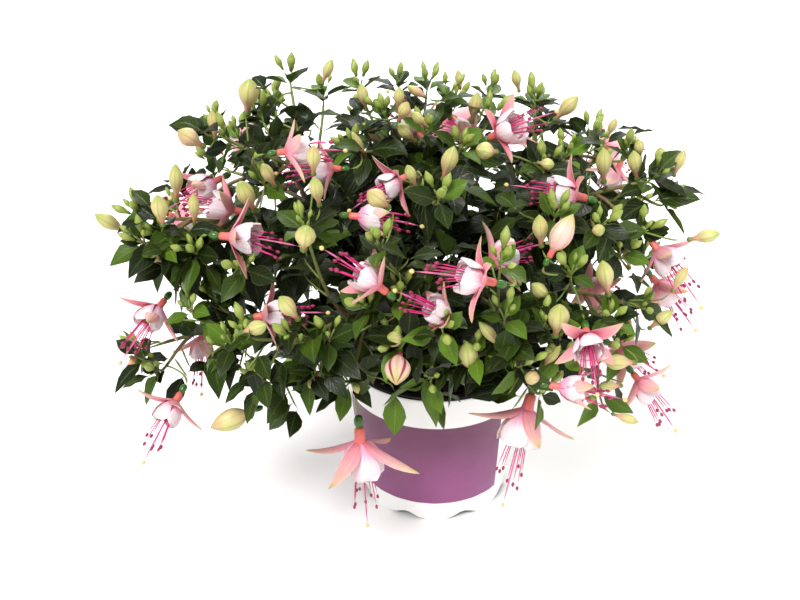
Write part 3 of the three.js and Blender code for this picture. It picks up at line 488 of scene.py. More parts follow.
def side_path(main, tip):
    """A side shoot leaves the main stem where it has a short and straight way to its tip."""
    tip = np.array(tip, float)
    ways = []
    for fork in FORKS:
        start = main.at(fork)
        along = main.aim(fork)
        ahead = toward(start, tip)
        gap = np.linalg.norm(tip - start)
        if gap > LEAST_SHOOT:
            ways.append((gap + SHARP_FORK * (1 - ahead @ along), start, along, ahead, gap))
    _, start, along, ahead, gap = min(ways, key=lambda way: way[0])
    stride = 0.36 * gap
    first = start + along * 0.6 * stride + ahead * 0.5 * stride
    last = tip - ahead * 0.65 * stride - UP * 0.4 * stride
    return Bend(start, first, last, tip)


def stalk_path(joint, seat, ahead):
    """A stalk bends from the stem up and round to its seat, where it points ahead."""
    stride = 0.4 * np.linalg.norm(seat - joint)
    return Bend(joint, joint + UP * 0.5 * stride, seat - ahead * stride, seat)


def stem_paths(foot, tips):
    """The path of a branch's main stem and those of its side shoots."""
    main = main_path(foot, tips[0])
    return [main] + [side_path(main, tip) for tip in tips[1:]]


STEMS = {name: stem_paths(*row) for name, row in BRANCHES.items()}
JOINTS = [
    (name, path.at(step / JOINT_STEPS * LAST_JOINT))
    for name, paths in STEMS.items() for path in paths for step in range(FIRST_JOINT_STEP, JOINT_STEPS + 1)
]


def nearest_joint(seat, apart):
    """The branch and the place on it nearest to `seat`, at least `apart` from it."""
    gaps = np.array([np.linalg.norm(place - seat) for _, place in JOINTS])
    gaps[gaps < apart] = np.inf
    return JOINTS[int(gaps.argmin())]


class Bloom:
    """One bloom of the list: where it sits, how it is turned and the sizes of its parts."""

    def __init__(self, name, seat, mouth, size, spread, roll, sepal=None):
        self.name = name
        self.size = size
        self.spread = spread
        self.sepal = sepal or SEPAL_LENGTH * size
        self.bell = WIDE_BELL if name in WIDE_OPEN else BELL
        self.seat = np.array(seat, float)
        self.ahead = toward(seat, mouth)
        side, top = axes_about(self.ahead)
        turn = math.radians(roll)
        self.axes = around((side, top), turn), around((top, -side), turn)
        self.throat = self.seat + self.ahead * TUBE_LENGTH * size
        self.middle = self.throat + self.ahead * COROLLA_MIDDLE * size
        self.ovary_back = self.seat - self.ahead * OVARY_LENGTH * size

    def away(self, turn):
        return around(self.axes, turn)


FLOWERS = [Bloom(*row) for row in BLOOMS]
FLOWER_MIDDLES = np.array([bloom.middle for bloom in FLOWERS])
FLOWER_SIZES = np.array([bloom.size for bloom in FLOWERS])
OUTWARD = unit(FLOWER_MIDDLES - BUSH_HEART)
TO_CAMERA = unit(np.array(CAMERA_PLACE) / MM - FLOWER_MIDDLES)


# Shapes and pieces


class Ball:
    """A closed ball of `sides` and `rings` that any round or flat growth is shaped from."""

    made = {}

    def __init__(self, sides, rings):
        ball = bmesh.new()
        bmesh.ops.create_uvsphere(ball, u_segments=sides, v_segments=rings + 1, radius=1)
        spots = np.array([vert.co for vert in ball.verts])
        fall = np.arccos(np.clip(spots[:, 2], -1, 1)) / math.pi
        self.ring = np.rint((1 - fall) * (rings + 1)).astype(int)
        self.ends = (self.ring == 0) | (self.ring == rings + 1)
        reach = np.hypot(spots[:, 0], spots[:, 1])
        reach[reach < 1e-4] = 1
        self.cos = spots[:, 0] / reach
        self.sin = spots[:, 1] / reach
        self.upper = np.sign(np.round(self.sin, 3))
        self.mesh = bpy.data.meshes.new("ball")
        ball.to_mesh(self.mesh)
        ball.free()
        self.faces = len(self.mesh.polygons)

    @classmethod
    def of(cls, sides, rings):
        if (sides, rings) not in cls.made:
            cls.made[sides, rings] = cls(sides, rings)
        return cls.made[sides, rings]


class Piece:
    """One visible piece: balls shaped one by one and joined in one mesh."""

    def __init__(self, name, finishes):
        self.name = name
        self.finishes = finishes
        self.body = bmesh.new()
        self.places, self.ways, self.draws, self.slots, self.brinks = [], [], [], [], []

    def add(self, ball, places, across, along, upper, draw, finish, thin=False):
        """`across`, `along` and `upper` say where a point lies on its leaf or bud; `draw` varies it."""
        self.body.from_mesh(ball.mesh)
        self.brinks.append((ball.ends | (np.abs(ball.cos) > 0.99)) & thin)
        self.places.append(places)
        count = len(places)
        self.ways.append(np.stack([across, along, np.broadcast_to(upper, count)], axis=1))
        self.draws.append(np.full(count, draw))
        self.slots += [self.finishes.index(finish)] * ball.faces

    def finished(self, slot, nodes):
        mesh = bpy.data.meshes.new(self.name)
        self.body.to_mesh(mesh)
        self.body.free()
        mesh.vertices.foreach_set("co", (np.concatenate(self.places) * MM).ravel())
        way = mesh.attributes.new("way", "FLOAT_VECTOR", "POINT")
        way.data.foreach_set("vector", np.concatenate(self.ways).ravel())
        draw = mesh.attributes.new("draw", "FLOAT", "POINT")
        draw.data.foreach_set("value", np.concatenate(self.draws))
        mesh.polygons.foreach_set("material_index", self.slots)
        mesh.polygons.foreach_set("use_smooth", [True] * len(mesh.polygons))
        ends = np.empty(2 * len(mesh.edges), int)
        mesh.edges.foreach_get("vertices", ends)
        brinks = np.concatenate(self.brinks)[ends.reshape(-1, 2)].all(axis=1)
        mesh.attributes.new("sharp_edge", "BOOLEAN", "EDGE").data.foreach_set("value", brinks)
        mesh.update()
        for finish in self.finishes:
            mesh.materials.append(finish)
        settled(mesh, nodes)


def settled(mesh, nodes):
    """Adds the finished object of a mesh, which rides with the plant in place of its nodes."""
    piece = bpy.data.objects.new(mesh.name, mesh)
    bpy.context.scene.collection.objects.link(piece)
    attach(piece, "root")
    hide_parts(*nodes)


def limb(piece, spots, radii, sides, finish, draw, along=None, ridge=0.0):
    """A round limb through its spots; `ridge` raises four low ridges along it."""
    spots = np.asarray(spots, float)
    last = len(spots) - 1
    ways = unit(np.diff(spots, axis=0))
    aims = unit(np.concatenate([ways[:1], ways[:-1] + ways[1:], ways[-1:]]))
    level = square_to(ways[0], ways[-1])
    side = unit(np.cross(level, aims))
    top = np.cross(aims, side)
    ball = Ball.of(sides, last - 1)
    ring = ball.ring
    turn = np.arctan2(ball.sin, ball.cos)
    wide = np.asarray(radii, float)[ring] * (1 + ridge * np.cos(4 * turn))
    places = spots[ring] + side[ring] * (wide * ball.cos)[:, None] + top[ring] * (wide * ball.sin)[:, None]
    shares = np.linspace(0, 1, last + 1) if along is None else np.asarray(along, float)
    piece.add(ball, places, np.cos(4 * turn), shares[ring], 0.0, draw, finish)


def stalk(piece, finish, path, radii, young, along=1, sides=5):
    """A thin limb along a path; `young` and `along` say how green it is."""
    shares = np.linspace(0, 1, len(radii))
    limb(piece, path.at(shares), radii, sides, finish, young, along=[along] * len(radii))


def blade(piece, middles, sides, uppers, halves, rise, thick, finish, draw):
    """A thin closed blade: `rise` lifts it by its place across and along and its half width there."""
    ball = Ball.of(8, len(halves) - 2)
    ring, edge = ball.ring, ball.cos
    share = ring / ring.max()
    half = halves[ring]
    lift = rise(edge, share, half) + 0.5 * thick * ball.sin * (1 - 0.5 * np.abs(edge))
    lift[ball.ends] = 0
    places = middles[ring] + sides[ring] * (half * edge)[:, None] + uppers[ring] * lift[:, None]
    piece.add(ball, places, edge, share, ball.upper, draw, finish, thin=True)


LEAF_STATIONS = np.array((0, 0.13, 0.2, 0.33, 0.5, 0.7, 0.89, 1))


def leaf_half_width(along):
    """A thin stalk, then an ovate blade that is widest below its middle and drawn out to a point."""
    share = np.clip((along - 0.14) / 0.86, 0, 1)
    return np.maximum(0.015 * (1 - along), 0.225 * np.sin(math.pi * share**0.72) ** 1.05)


def leaf_spot(root, out, length, droop, share):
    """A place along the middle of a leaf, which arches down to its tip."""
    return root + out * length * share * (1 - 0.12 * share) - UP * length * droop * share**2


def leaf(piece, finish, root, out, face, length, droop, draw):
    """A folded blade that arches down, its edges gently waved."""
    middles = leaf_spot(root, out, length, droop, LEAF_STATIONS[:, None])
    aims = unit(np.gradient(middles, axis=0))
    sides = unit(np.cross(face, aims))
    uppers = np.cross(aims, sides)
    halves = length * leaf_half_width(LEAF_STATIONS)
    fold = 0.3 + 0.35 * draw
    waves = 6 + 5 * draw

    def rise(edge, share, half):
        lift = fold * np.abs(edge) ** 1.4 - 0.12 * edge**2
        return half * (lift + 0.13 * edge**2 * np.sin(waves * math.pi * share + edge))

    blade(piece, middles, sides, uppers, halves, rise, 0.7, finish, draw)


def leaves_on(path, bare, seed, leaf_length):
    """Opposite pairs of leaves, each pair turned a quarter turn from the last, smaller to the tip."""
    draw = draws_from(seed)
    length = path.length()
    pairs = max(2, round(length * (1 - bare) / LEAF_SPACING))
    for pair in range(pairs + 1):
        along = bare + (LAST_JOINT - bare) * (pair / pairs) ** 0.85
        ahead = path.aim(along)
        axes = axes_about(ahead)
        size = leaf_length * min(1, TIP_LEAF_SHARE + (1 - along) * length / GROWN_AFTER)
        quarter = (pair % 2) * math.pi / 2 + 0.5 * (draw() - 0.5)
        for turn in (quarter, quarter + math.pi):
            away = around(axes, turn)
            out = unit(away * 0.9 + ahead * 0.45 + UP * (0.1 + 0.25 * draw()))
            scale = 0.8 + 0.3 * draw()
            yield path.at(along), out, facing(ahead * 0.7 + UP, out), size * scale, 0.12 + 0.3 * draw()


def sunlit(place):
    """How much painted light a leaf gets by where it hangs: the ones low over the pot's front edge get the
    most.
    """
    x, y, z = place
    front = np.clip((-y - 70) / 40, 0, 1)
    low = np.clip((150 - z) / 40, 0, 1)
    middle = np.clip(1.6 - abs(x) / 50, 0, 1)
    return float(front * low * middle)


def hides_a_bloom(root, out, length, droop):
    """Whether a leaf would stand in or close in front of a bloom, which hangs out in the open air."""
    for share in LEAF_CHECKS:
        reach = leaf_spot(root, out, length, droop, share) - FLOWER_MIDDLES
        for way in (OUTWARD, TO_CAMERA):
            ahead = np.clip((reach * way).sum(axis=1), 0, OPEN_AIR)
            apart = np.linalg.norm(reach - way * ahead[:, None], axis=1)
            if (apart < CLEAR_AROUND * FLOWER_SIZES).any():
                return True
    return False


def thinned(place, chance):
    """Whether a leaf is missing near the bush's edge, where the leaves stand further apart."""
    out = np.linalg.norm((place - BUSH_MIDDLE) / BUSH_REACH)
    return out > THIN_PAST and chance < THINNED


def leafy(piece, finish, path, bare, seed, leaf_length, tint):
    """Sets leaves along a stem, apart from those that hide a bloom or are missing near the edge."""
    chance = draws_from(seed + THINNING_SEED)
    for root, out, face, size, droop in leaves_on(path, bare, seed, leaf_length):
        if hides_a_bloom(root, out, size, droop) or thinned(root + out * size, chance()):
            continue
        # Paler green from a random tone per leaf, plus painted light on the leaves that hang low in front
        shade = 0.6 * sunlit(root + out * size) + 0.4 * tint() ** 2
        leaf(piece, finish, root, out, face, size, droop, shade)


def twigs_on(path, seed):
    """Short side twigs that fill the bush between its long shoots."""
    draw = draws_from(seed)
    for along in TWIG_PLACES:
        start = path.at(along)
        ahead = path.aim(along)
        away = around(axes_about(ahead), 2 * math.pi * draw())
        aim = unit(away + 0.5 * ahead + UP * 0.35)
        length = 14 + 14 * draw()
        end = start + aim * length
        yield Bend(start, start + aim * 0.4 * length, end - (aim + UP * 0.4) * 0.3 * length, end)


def inner_spots():
    """Places through the middle of the bush, above the open space over the pot."""
    draw = draws_from(seed_of("inner spots"))
    spots = []
    while len(spots) < INNER_TWIGS:
        share = 2 * np.array((draw(), draw(), draw())) - 1
        spot = BUSH_MIDDLE + share * BUSH_REACH * INNER_SHARE
        if np.linalg.norm(share) < 1 and spot[2] > INNER_LOWEST:
            spots.append(spot)
    return spots


# The radius of a bud along its length, as a share of its girth: ovary, short tube, then the sepals
BUD_PROFILE = (
    (0.0, 0.1), (0.05, 0.15), (0.1, 0.16), (0.15, 0.11), (0.2, 0.13), (0.29, 0.17), (0.4, 0.29),
    (0.52, 0.38), (0.65, 0.41), (0.78, 0.34), (0.88, 0.22), (0.95, 0.1), (1.0, 0.0),
)
SMALL_BUD_PROFILE = (
    (0.0, 0.1), (0.12, 0.18), (0.24, 0.2), (0.45, 0.42), (0.65, 0.44), (0.87, 0.22), (1.0, 0.0),
)


def bud(piece, finishes, joint, seat, tip, girth, ripeness):
    """A bud on its stalk: a small ovary, a short tube and four sepals that still meet in a point."""
    seat, tip = np.array(seat, float), np.array(tip, float)
    stalk(piece, finishes["stem"], stalk_path(joint, seat, toward(seat, tip)), BUD_STALK, 0.8)
    full = girth > FULL_GIRTH
    share, radii = np.array(BUD_PROFILE if full else SMALL_BUD_PROFILE).T
    radii = np.maximum(radii * girth, 0.5)
    radii[[0, -1]] = 0
    spots = seat + (tip - seat) * share[:, None]
    limb(piece, spots, radii, 16 if full else 8, finishes["bud"], ripeness, along=share, ridge=0.05)


def tip_cluster(piece, finishes, path, seed, leaf_length):
    """The tip of a shoot: one standing bud, smaller buds round it and a few young leaves."""
    draw = draws_from(seed)
    ahead = path.aim(1.0)
    end = path.at(1.0)
    axes = axes_about(ahead)
    turn = 2 * math.pi * draw()
    aim = unit(around(axes, turn) * 0.55 + ahead * 0.6 + UP * 0.6)
    seat = end + aim * (5 + 4 * draw())
    length = 10 + 5 * draw()
    bud(piece, finishes, path.at(LAST_JOINT), seat, seat + aim * length, 0.42 * length, 0.1)
    root = path.at(0.985)
    for _ in range(3):
        turn += 1.9 + 0.5 * draw()
        away = around(axes, turn)
        aim = unit(away * 0.55 + ahead * 0.4 + UP * 0.9)
        length = 6.5 + 7 * draw()
        seat = end + aim * (3 + 7 * draw())
        bud(piece, finishes, root, seat, seat + aim * length, 0.4 * length, 0)
        out = unit(away + ahead * 0.5)
        size = leaf_length * (0.54 + 0.3 * draw())
        leaf(piece, finishes["leaf"], root, out, facing(ahead, out), size, 0.05 + 0.1 * draw(), draw())


def ovary(piece, finishes, joint, bloom):
    """The seed pod behind a bloom, on its stalk."""
    path = stalk_path(joint, bloom.ovary_back, bloom.ahead)
    stalk(piece, finishes["stem"], path, OVARY_STALK, 0.75, sides=6)
    share = np.array((0, 0.08, 0.2, 0.4, 0.62, 0.82, 0.95, 1.0))
    radii = np.array((0, 0.5, 0.82, 1, 1, 0.85, 0.66, 0)) * OVARY_RADIUS * bloom.size
    spots = bloom.ovary_back + bloom.ahead * (OVARY_LENGTH * bloom.size + 0.6) * share[:, None]
    limb(piece, spots, radii, 10, finishes["ovary"], 0.5, along=share, ridge=0.03)


def tube(piece, finish, bloom, tint):
    """The tube of a bloom, from its ovary to its throat."""
    share = np.array((0, 0.03, 0.12, 0.3, 0.5, 0.7, 0.88, 1.0, 1.04))
    radii = np.array((0, 0.56, 0.76, 0.84, 0.82, 0.86, 0.94, 1, 0)) * THROAT_RADIUS * bloom.size
    spots = bloom.seat + bloom.ahead * (CLEARANCE + TUBE_LENGTH * bloom.size * share)[:, None]
    limb(piece, spots, radii, 12, finish, tint, along=-0.3 * (1 - share), ridge=0.05)


SEPAL_STATIONS = np.array((0, 0.03, 0.14, 0.3, 0.46, 0.62, 0.78, 0.92, 1.0))
SEPAL_WIDTHS = np.array((0, 0.6, 0.86, 1.0, 0.98, 0.84, 0.58, 0.25, 0))
RIB_STEPS = 40


def sepal(piece, finish, bloom, turn, spread, tint):
    """A sepal leaves the throat and bends back, its tip aiming `spread` degrees from the axis."""
    size, ahead = bloom.size, bloom.ahead
    away = bloom.away(turn)
    first = 60 if spread > 50 else min(35, spread + 20)
    bends = np.radians(first + (spread - first) * np.linspace(0, 1, RIB_STEPS + 1))
    steps = (ahead * np.cos(bends)[:, None] + away * np.sin(bends)[:, None]) * bloom.sepal / RIB_STEPS
    rib = np.concatenate([[np.zeros(3)], np.cumsum(steps[:-1], axis=0)])
    rib = rib + bloom.throat - ahead * 1.2 + away * 1.5 * size
    at = np.rint(SEPAL_STATIONS * RIB_STEPS).astype(int)
    bend = bends[at][:, None]
    uppers = away * np.cos(bend) - ahead * np.sin(bend)
    sides = np.broadcast_to(-np.cross(ahead, away), uppers.shape)
    halves = 0.5 * SEPAL_WIDTH * math.sqrt(size) * SEPAL_WIDTHS

    def rise(edge, share, half):
        return -half * (0.34 * edge**2 + 0.1 * edge * np.sin(5 * share + 7 * tint))

    blade(piece, rib[at], sides, uppers, halves, rise, 0.8, finish, tint)


PETAL_STATIONS = np.array((0, 0.15, 0.35, 0.6, 0.82, 0.96, 1.0))
PETAL_WIDTHS = np.array((0, 0.5, 0.78, 1.0, 1.0, 0.72, 0))


def petal(piece, finish, bloom, turn, inner, draw, opening):
    """A broad petal wrapped round the axis of the bloom, with a rounded, gently ruffled end."""
    s = PETAL_STATIONS
    size = bloom.size
    reach = COROLLA_LENGTH * size * (0.94 + 0.12 * draw) * (0.86 if inner else 1)
    bulge = (COROLLA_RADIUS - COROLLA_FOOT) * np.sin(bloom.bell * math.pi * s**0.75) * opening
    radius = (COROLLA_FOOT + bulge) * size * (0.74 if inner else 1)
    ball = Ball.of(12, len(s) - 2)
    ring, edge = ball.ring, ball.cos
    angle = turn - (math.radians(PETAL_WRAP) * PETAL_WIDTHS)[ring] * edge
    ruffle = 1.0 * size * s[ring] ** 2 * np.sin(4.5 * edge + 9 * draw)
    out = radius[ring] + np.where(ball.ends, 0, ruffle + 0.22 * ball.sin + 0.5 * edge)
    side, top = bloom.axes
    away = side * np.cos(angle)[:, None] + top * np.sin(angle)[:, None]
    run = reach * s[ring] * (1 - 0.05 * np.cos(3 * edge + 6 * draw)) - 1
    places = bloom.throat + away * out[:, None] + bloom.ahead * run[:, None]
    piece.add(ball, places, edge, s[ring], ball.upper, draw, finish, thin=True)


def thread(piece, finish, bloom, turn, lean, length, thick, knob, tints):
    """A stamen or the style hangs a little under its own weight and ends in a thicker knob."""
    share = np.linspace(0, 1, 7)[:, None]
    away = bloom.away(turn)
    reach = bloom.ahead * length * bloom.size * share + away * lean * bloom.size * share**0.7
    spots = bloom.throat + reach + away * 0.8 - UP * 3 * share**2
    limb(piece, spots, (0, *[thick] * 5, 0), 5, finish, tints[0])
    aim = toward(spots[-2], spots[-1])
    along = np.linspace(-0.3, 1, 5)[:, None]
    limb(piece, spots[-1] + aim * KNOB_LENGTH * along, np.array((0, 0.8, 1, 0.8, 0)) * knob, 6,
         finish, tints[1])


def threads(piece, finish, bloom, seed):
    """The ring of stamens and the style in the middle of them."""
    draw = draws_from(seed)
    for k in range(STAMENS):
        turn = 2 * math.pi * (k + 0.4 * draw()) / STAMENS
        length = STAMEN_LENGTH * (0.85 + 0.35 * draw())
        thread(piece, finish, bloom, turn, 3 + 4 * draw(), length, 0.32, 0.95, (0.0, 0.33))
    thread(piece, finish, bloom, 0, 0, STYLE_LENGTH, 0.5, 1.25, (0.66, 1.0))


def balloon(piece, finishes, bloom):
    """A bloom about to open: its sepals still meet in a long balloon ahead of the tube, or just part."""
    ripeness = OPENING[bloom.name]
    parting = ripeness == 1
    tube(piece, finishes["calyx"], bloom, 0.9)
    share = np.array((0, 0.03, 0.1, 0.2, 0.33, 0.46, 0.6, 0.73, 0.85, 0.95, 1))
    radii = np.array((0, 2.5, 4.2, 6, 7.3, 7.5, 6.8, 5.4, 3.5, 1.3, 0)) * bloom.size
    spots = bloom.throat + bloom.ahead * ((share * BALLOON_LENGTH - 1.5) * bloom.size)[:, None]
    limb(piece, spots, radii, 32 if parting else 16, finishes["bud"], ripeness,
         along=0.35 + 0.65 * share, ridge=0.11 if parting else 0.06)


def bloom_pieces(index, bloom, finishes):
    """One piece for each bloom, or on the showiest ones a pink calyx and a white corolla."""
    name = bloom.name
    used = [finishes[key] for key in ("calyx", "petal", "thread", "bud")]
    two = name in TWO_COLOURED
    calyx = Piece(f"calyx_{name}" if two else f"bloom_{name}", used)
    corolla = Piece(f"corolla_{name}", used) if two else calyx
    if bloom.spread <= CLOSED:
        balloon(calyx, finishes, bloom)
    else:
        draw = draws_from(seed_of("bloom", index))
        tint = draw()
        tube(calyx, finishes["calyx"], bloom, tint)
        for k in range(SEPALS):
            bend = bloom.spread + 24 * (draw() - 0.5)
            sepal(calyx, finishes["calyx"], bloom, (0.5 + k) * 2 * math.pi / SEPALS, bend, tint)
        opening = 1.05 if name in WIDE_OPEN else 0.85 + 0.25 * draw()
        for k in range(PETALS):
            turn = 2 * math.pi * (k + 0.3 * draw()) / PETALS
            petal(corolla, finishes["petal"], bloom, turn, k % 2, draw(), opening)
        threads(calyx, finishes["thread"], bloom, seed_of("threads", index))
    calyx.finished("pink_petals", [f"bloom_{name}_calyx" if two else f"bloom_{name}"])
    if two:
        corolla.finished("white_petals", [f"bloom_{name}_corolla"])


def stem(piece, finish, path, radius, young):
    """A knotty stem that thins towards its tip."""
    shares = np.linspace(0, 1, STEM_STATIONS)
    radii = radius * (1 - 0.45 * shares) * (1 + KNOT * (np.arange(STEM_STATIONS) % 2))
    radii[[0, -1]] = 0
    limb(piece, path.at(shares), radii, 6, finish, young, along=shares)


def leafy_stems(piece, name, index, finishes, leaf_length):
    """The stems of a branch, each with its leaves, its twigs and the buds at its tip."""
    for k, path in enumerate(STEMS[name]):
        main = k == 0
        stem(piece, finishes["stem"], path, MAIN_STEM_RADIUS if main else SHOOT_RADIUS, 0.1 if main else 0.35)
        tint = draws_from(seed_of("tint", index, k))
        leafy(piece, finishes["leaf"], path, BARE_STEM if main else BARE_SHOOT, seed_of("leaves", index, k),
              leaf_length, tint)
        tip_cluster(piece, finishes, path, seed_of("tip", index, k), leaf_length)
        for t, twig in enumerate(twigs_on(path, seed_of("twigs", index, k))):
            stalk(piece, finishes["stem"], twig, TWIG_RADII, 0.7, 0.5)
            leafy(piece, finishes["leaf"], twig, BARE_TWIG, seed_of("twig leaves", index, k, t),
                  TWIG_LEAF * leaf_length, tint)


def inner_twigs(piece, name, finishes, leaf_length):
    """Short leafy twigs between the stems, so that the middle of the bush is closed and dark."""
    for k, spot in enumerate(inner_spots()):
        owner, joint = nearest_joint(spot, INNER_TWIG_REACH)
        if owner == name:
            aim = toward(joint, spot)
            reach = np.linalg.norm(spot - joint)
            twig = Bend(joint, joint + (aim + UP) * 0.2 * reach, spot - (aim - UP) * 0.2 * reach, spot)
            stalk(piece, finishes["stem"], twig, TWIG_RADII, 0.7, 0.5)
            leafy(piece, finishes["leaf"], twig, BARE_INNER_TWIG, seed_of("inner twig", k),
                  INNER_TWIG_LEAF * leaf_length, draws_from(seed_of("inner tint", k)))


def outline_leaves(piece, name, finishes):
    """The leaves of this branch that shape the plant's outline."""
    for root, tip in OUTLINE_LEAVES:
        root, tip = np.array(root, float), np.array(tip, float)
        owner, joint = nearest_joint(root, 0)
        if owner == name:
            out = toward(root, tip)
            stalk(piece, finishes["stem"], stalk_path(joint, root + out * 2, out), LEAF_STALK, 0.75)
            length = np.linalg.norm(tip - root)
            # Painted light makes the outline leaves that hang low in front paler
            leaf(piece, finishes["leaf"], root, out, facing(UP, out), length, 0.05, 0.3 + 0.5 * sunlit(tip))


def branch_piece(index, name, finishes, leaf_length):
    """A branch with all that grows on it: leaves, twigs, buds, and the ovaries and stalks of its blooms."""
    piece = Piece(f"leafy_branch_{name}", [finishes[key] for key in ("leaf", "stem", "bud", "ovary")])
    leafy_stems(piece, name, index, finishes, leaf_length)
    inner_twigs(piece, name, finishes, leaf_length)
    outline_leaves(piece, name, finishes)
    for bloom in FLOWERS:
        owner, joint = nearest_joint(bloom.ovary_back, LEAST_OVARY_STALK)
        if owner == name:
            ovary(piece, finishes, joint, bloom)
    for k, (seat, tip, girth) in enumerate(FULL_BUDS):
        owner, joint = nearest_joint(np.array(seat, float), LEAST_BUD_STALK)
        if owner == name:
            ripeness = 0.35 + 0.4 * draws_from(seed_of("bud", k))()
            bud(piece, finishes, joint, seat, tip, girth, ripeness)
    piece.finished("foliage", [f"branch_{name}"])


# Pot, cover and compost


def turned(profile, sides):
    """A closed round body from a closed profile of (radius, height) pairs in millimetres."""
    body = bmesh.new()
    corners = [body.verts.new((radius * MM, 0, height * MM)) for radius, height in profile]
    edges = [body.edges.new(pair) for pair in zip(corners, corners[1:] + corners[:1])]
    bmesh.ops.spin(body, geom=corners + edges, cent=(0, 0, 0), axis=(0, 0, 1), angle=2 * math.pi,
                   steps=sides, use_merge=True)
    bmesh.ops.remove_doubles(body, verts=body.verts, dist=0.01 * MM)
    bmesh.ops.recalc_face_normals(body, faces=body.faces)
    return body


def mesh_of(body, name, finishes):
    """The mesh of a body, smooth but for its sharp edges."""
    mesh = bpy.data.meshes.new(name)
    body.to_mesh(mesh)
    body.free()
    mesh.polygons.foreach_set("use_smooth", [True] * len(mesh.polygons))
    for finish in finishes:
        mesh.materials.append(finish)
    mesh.set_sharp_from_angle(angle=math.radians(SHARP_ANGLE))
    return mesh


def pot_radius(z):
    """The outer radius of the pot at a height."""
    return POT_BOTTOM_RADIUS + (POT_TOP_RADIUS - POT_BOTTOM_RADIUS) * z / POT_HEIGHT


def cover_radius(z):
    """The outer radius of the cover at a height."""
    return COVER_BOTTOM_RADIUS + (COVER_TOP_RADIUS - COVER_BOTTOM_RADIUS) * z / COVER_HEIGHT


def rim_radius(z):
    """The radius at a height of the pot's rim, which only just fits in the cover."""
    return cover_radius(z) - COVER_WALL - CLEARANCE


def make_pot(finish):
    """The inner pot, with a raised middle under its floor and a thicker rim that fills the cover."""
    lip = POT_HEIGHT - RIM_HEIGHT
    rim = rim_radius(COVER_HEIGHT)
    profile = (
        (0, FOOT_HEIGHT), (FOOT_RADIUS - FOOT_HEIGHT, FOOT_HEIGHT), (FOOT_RADIUS, 0),
        (POT_BOTTOM_RADIUS - 1, 0), (POT_BOTTOM_RADIUS, 1), (pot_radius(lip), lip),
        (rim_radius(lip) - LIP_ROUND, lip), (rim_radius(lip), lip + LIP_ROUND), (rim, COVER_HEIGHT),
        (rim, POT_HEIGHT - RIM_ROUND), (rim - RIM_ROUND, POT_HEIGHT),
        (pot_radius(POT_HEIGHT) - POT_WALL, POT_HEIGHT),
        (pot_radius(POT_HEIGHT - 1) - POT_WALL, POT_HEIGHT - 1),
        (pot_radius(POT_FLOOR) - POT_WALL, POT_FLOOR), (0, POT_FLOOR),
    )
    settled(mesh_of(turned(profile, POT_SIDES), "plant_pot", [finish]), ["inner_pot"])


def make_cover(finish):
    """The wall of the cover, its lower hem cut in lobes, the front one lowest."""
    outer = [(cover_radius(z), z) for z in COVER_STATIONS]
    inner = [(radius - COVER_WALL, z) for radius, z in outer]
    outer.append((COVER_TOP_RADIUS - COVER_OUTER_ROUND, COVER_HEIGHT))
    inner.append((COVER_TOP_RADIUS - COVER_WALL + COVER_INNER_ROUND, COVER_HEIGHT))
    body = turned(outer + inner[::-1], COVER_SIDES)
    for vert in body.verts:
        x, y, z = vert.co / MM
        turn = math.atan2(x, -y)
        rise = HEM_DEPTH * (0.5 - 0.5 * math.cos(HEM_LOBES * turn)) ** 2
        lifted = z + rise * max(0, 1 - z / HEM_FADE) ** 2
        widen = cover_radius(lifted) / cover_radius(z)
        flute = 1 + FLUTE_DEPTH * math.cos(FLUTES * turn) * max(0, 1 - lifted / FLUTE_FADE)
        vert.co = (x * widen * flute * MM, y * widen * flute * MM, lifted * MM)
    settled(mesh_of(body, "white_cover", [finish]), ["pot_cover"])


def strew_crumbs(mesh, reach):
    """Adds loose crumbs, bits of bark and white grains to the top of the compost."""
    crumbs = bmesh.new()
    crumbs.from_mesh(mesh)
    draw = draws_from(seed_of("crumbs"))
    for _ in range(CRUMBS):
        turn = 2 * math.pi * draw()
        out = reach * math.sqrt(draw())
        size = 0.7 + 2.3 * draw() ** 3
        place = Matrix.Translation((out * math.cos(turn) * MM, out * math.sin(turn) * MM,
                                    (SOIL_TOP + 0.25 * size) * MM))
        spin = Matrix.Rotation(6 * draw(), 4, (draw(), draw(), draw() + 0.1))
        scale = Matrix.Diagonal((size * MM, size * (0.5 + 0.5 * draw()) * MM, size * 0.6 * MM, 1))
        made = bmesh.ops.create_icosphere(crumbs, subdivisions=1, radius=1, matrix=place @ spin @ scale)
        white = draw() < WHITE_SHARE
        for face in {face for vert in made["verts"] for face in vert.link_faces}:
            face.material_index = int(white)
    crumbs.to_mesh(mesh)
    crumbs.free()


def make_compost(finishes, lump_height):
    """Compost with a lumpy top and crumbs on it."""
    edge = pot_radius(SOIL_TOP) - POT_WALL - CLEARANCE
    floor = POT_FLOOR + CLEARANCE
    low = [(0, floor), (pot_radius(floor) - POT_WALL - CLEARANCE, floor)]
    top = [(edge * k / SOIL_RINGS, SOIL_TOP) for k in range(SOIL_RINGS, -1, -1)]
    body = turned(low + top, SOIL_SIDES)
    for vert in body.verts:
        if vert.co.z > (SOIL_TOP - 1) * MM:
            place = vert.co / MM
            lump = noise.noise(place * 0.11) + 0.6 * noise.noise(place * 0.33)
            vert.co.z += MM * lump_height * (1.1 * lump - 0.4)
    mesh = mesh_of(body, "compost", finishes)
    strew_crumbs(mesh, edge - LARGEST_CRUMB)
    settled(mesh, ["soil"])


# Finishes


def ink(code):
    """A colour as Blender mixes it, from its six-digit code."""
    parts = [int(code[k:k + 2], 16) / 255 for k in (0, 2, 4)]
    return tuple(p / 12.92 if p <= 0.04045 else ((p + 0.055) / 1.055) ** 2.4 for p in parts)


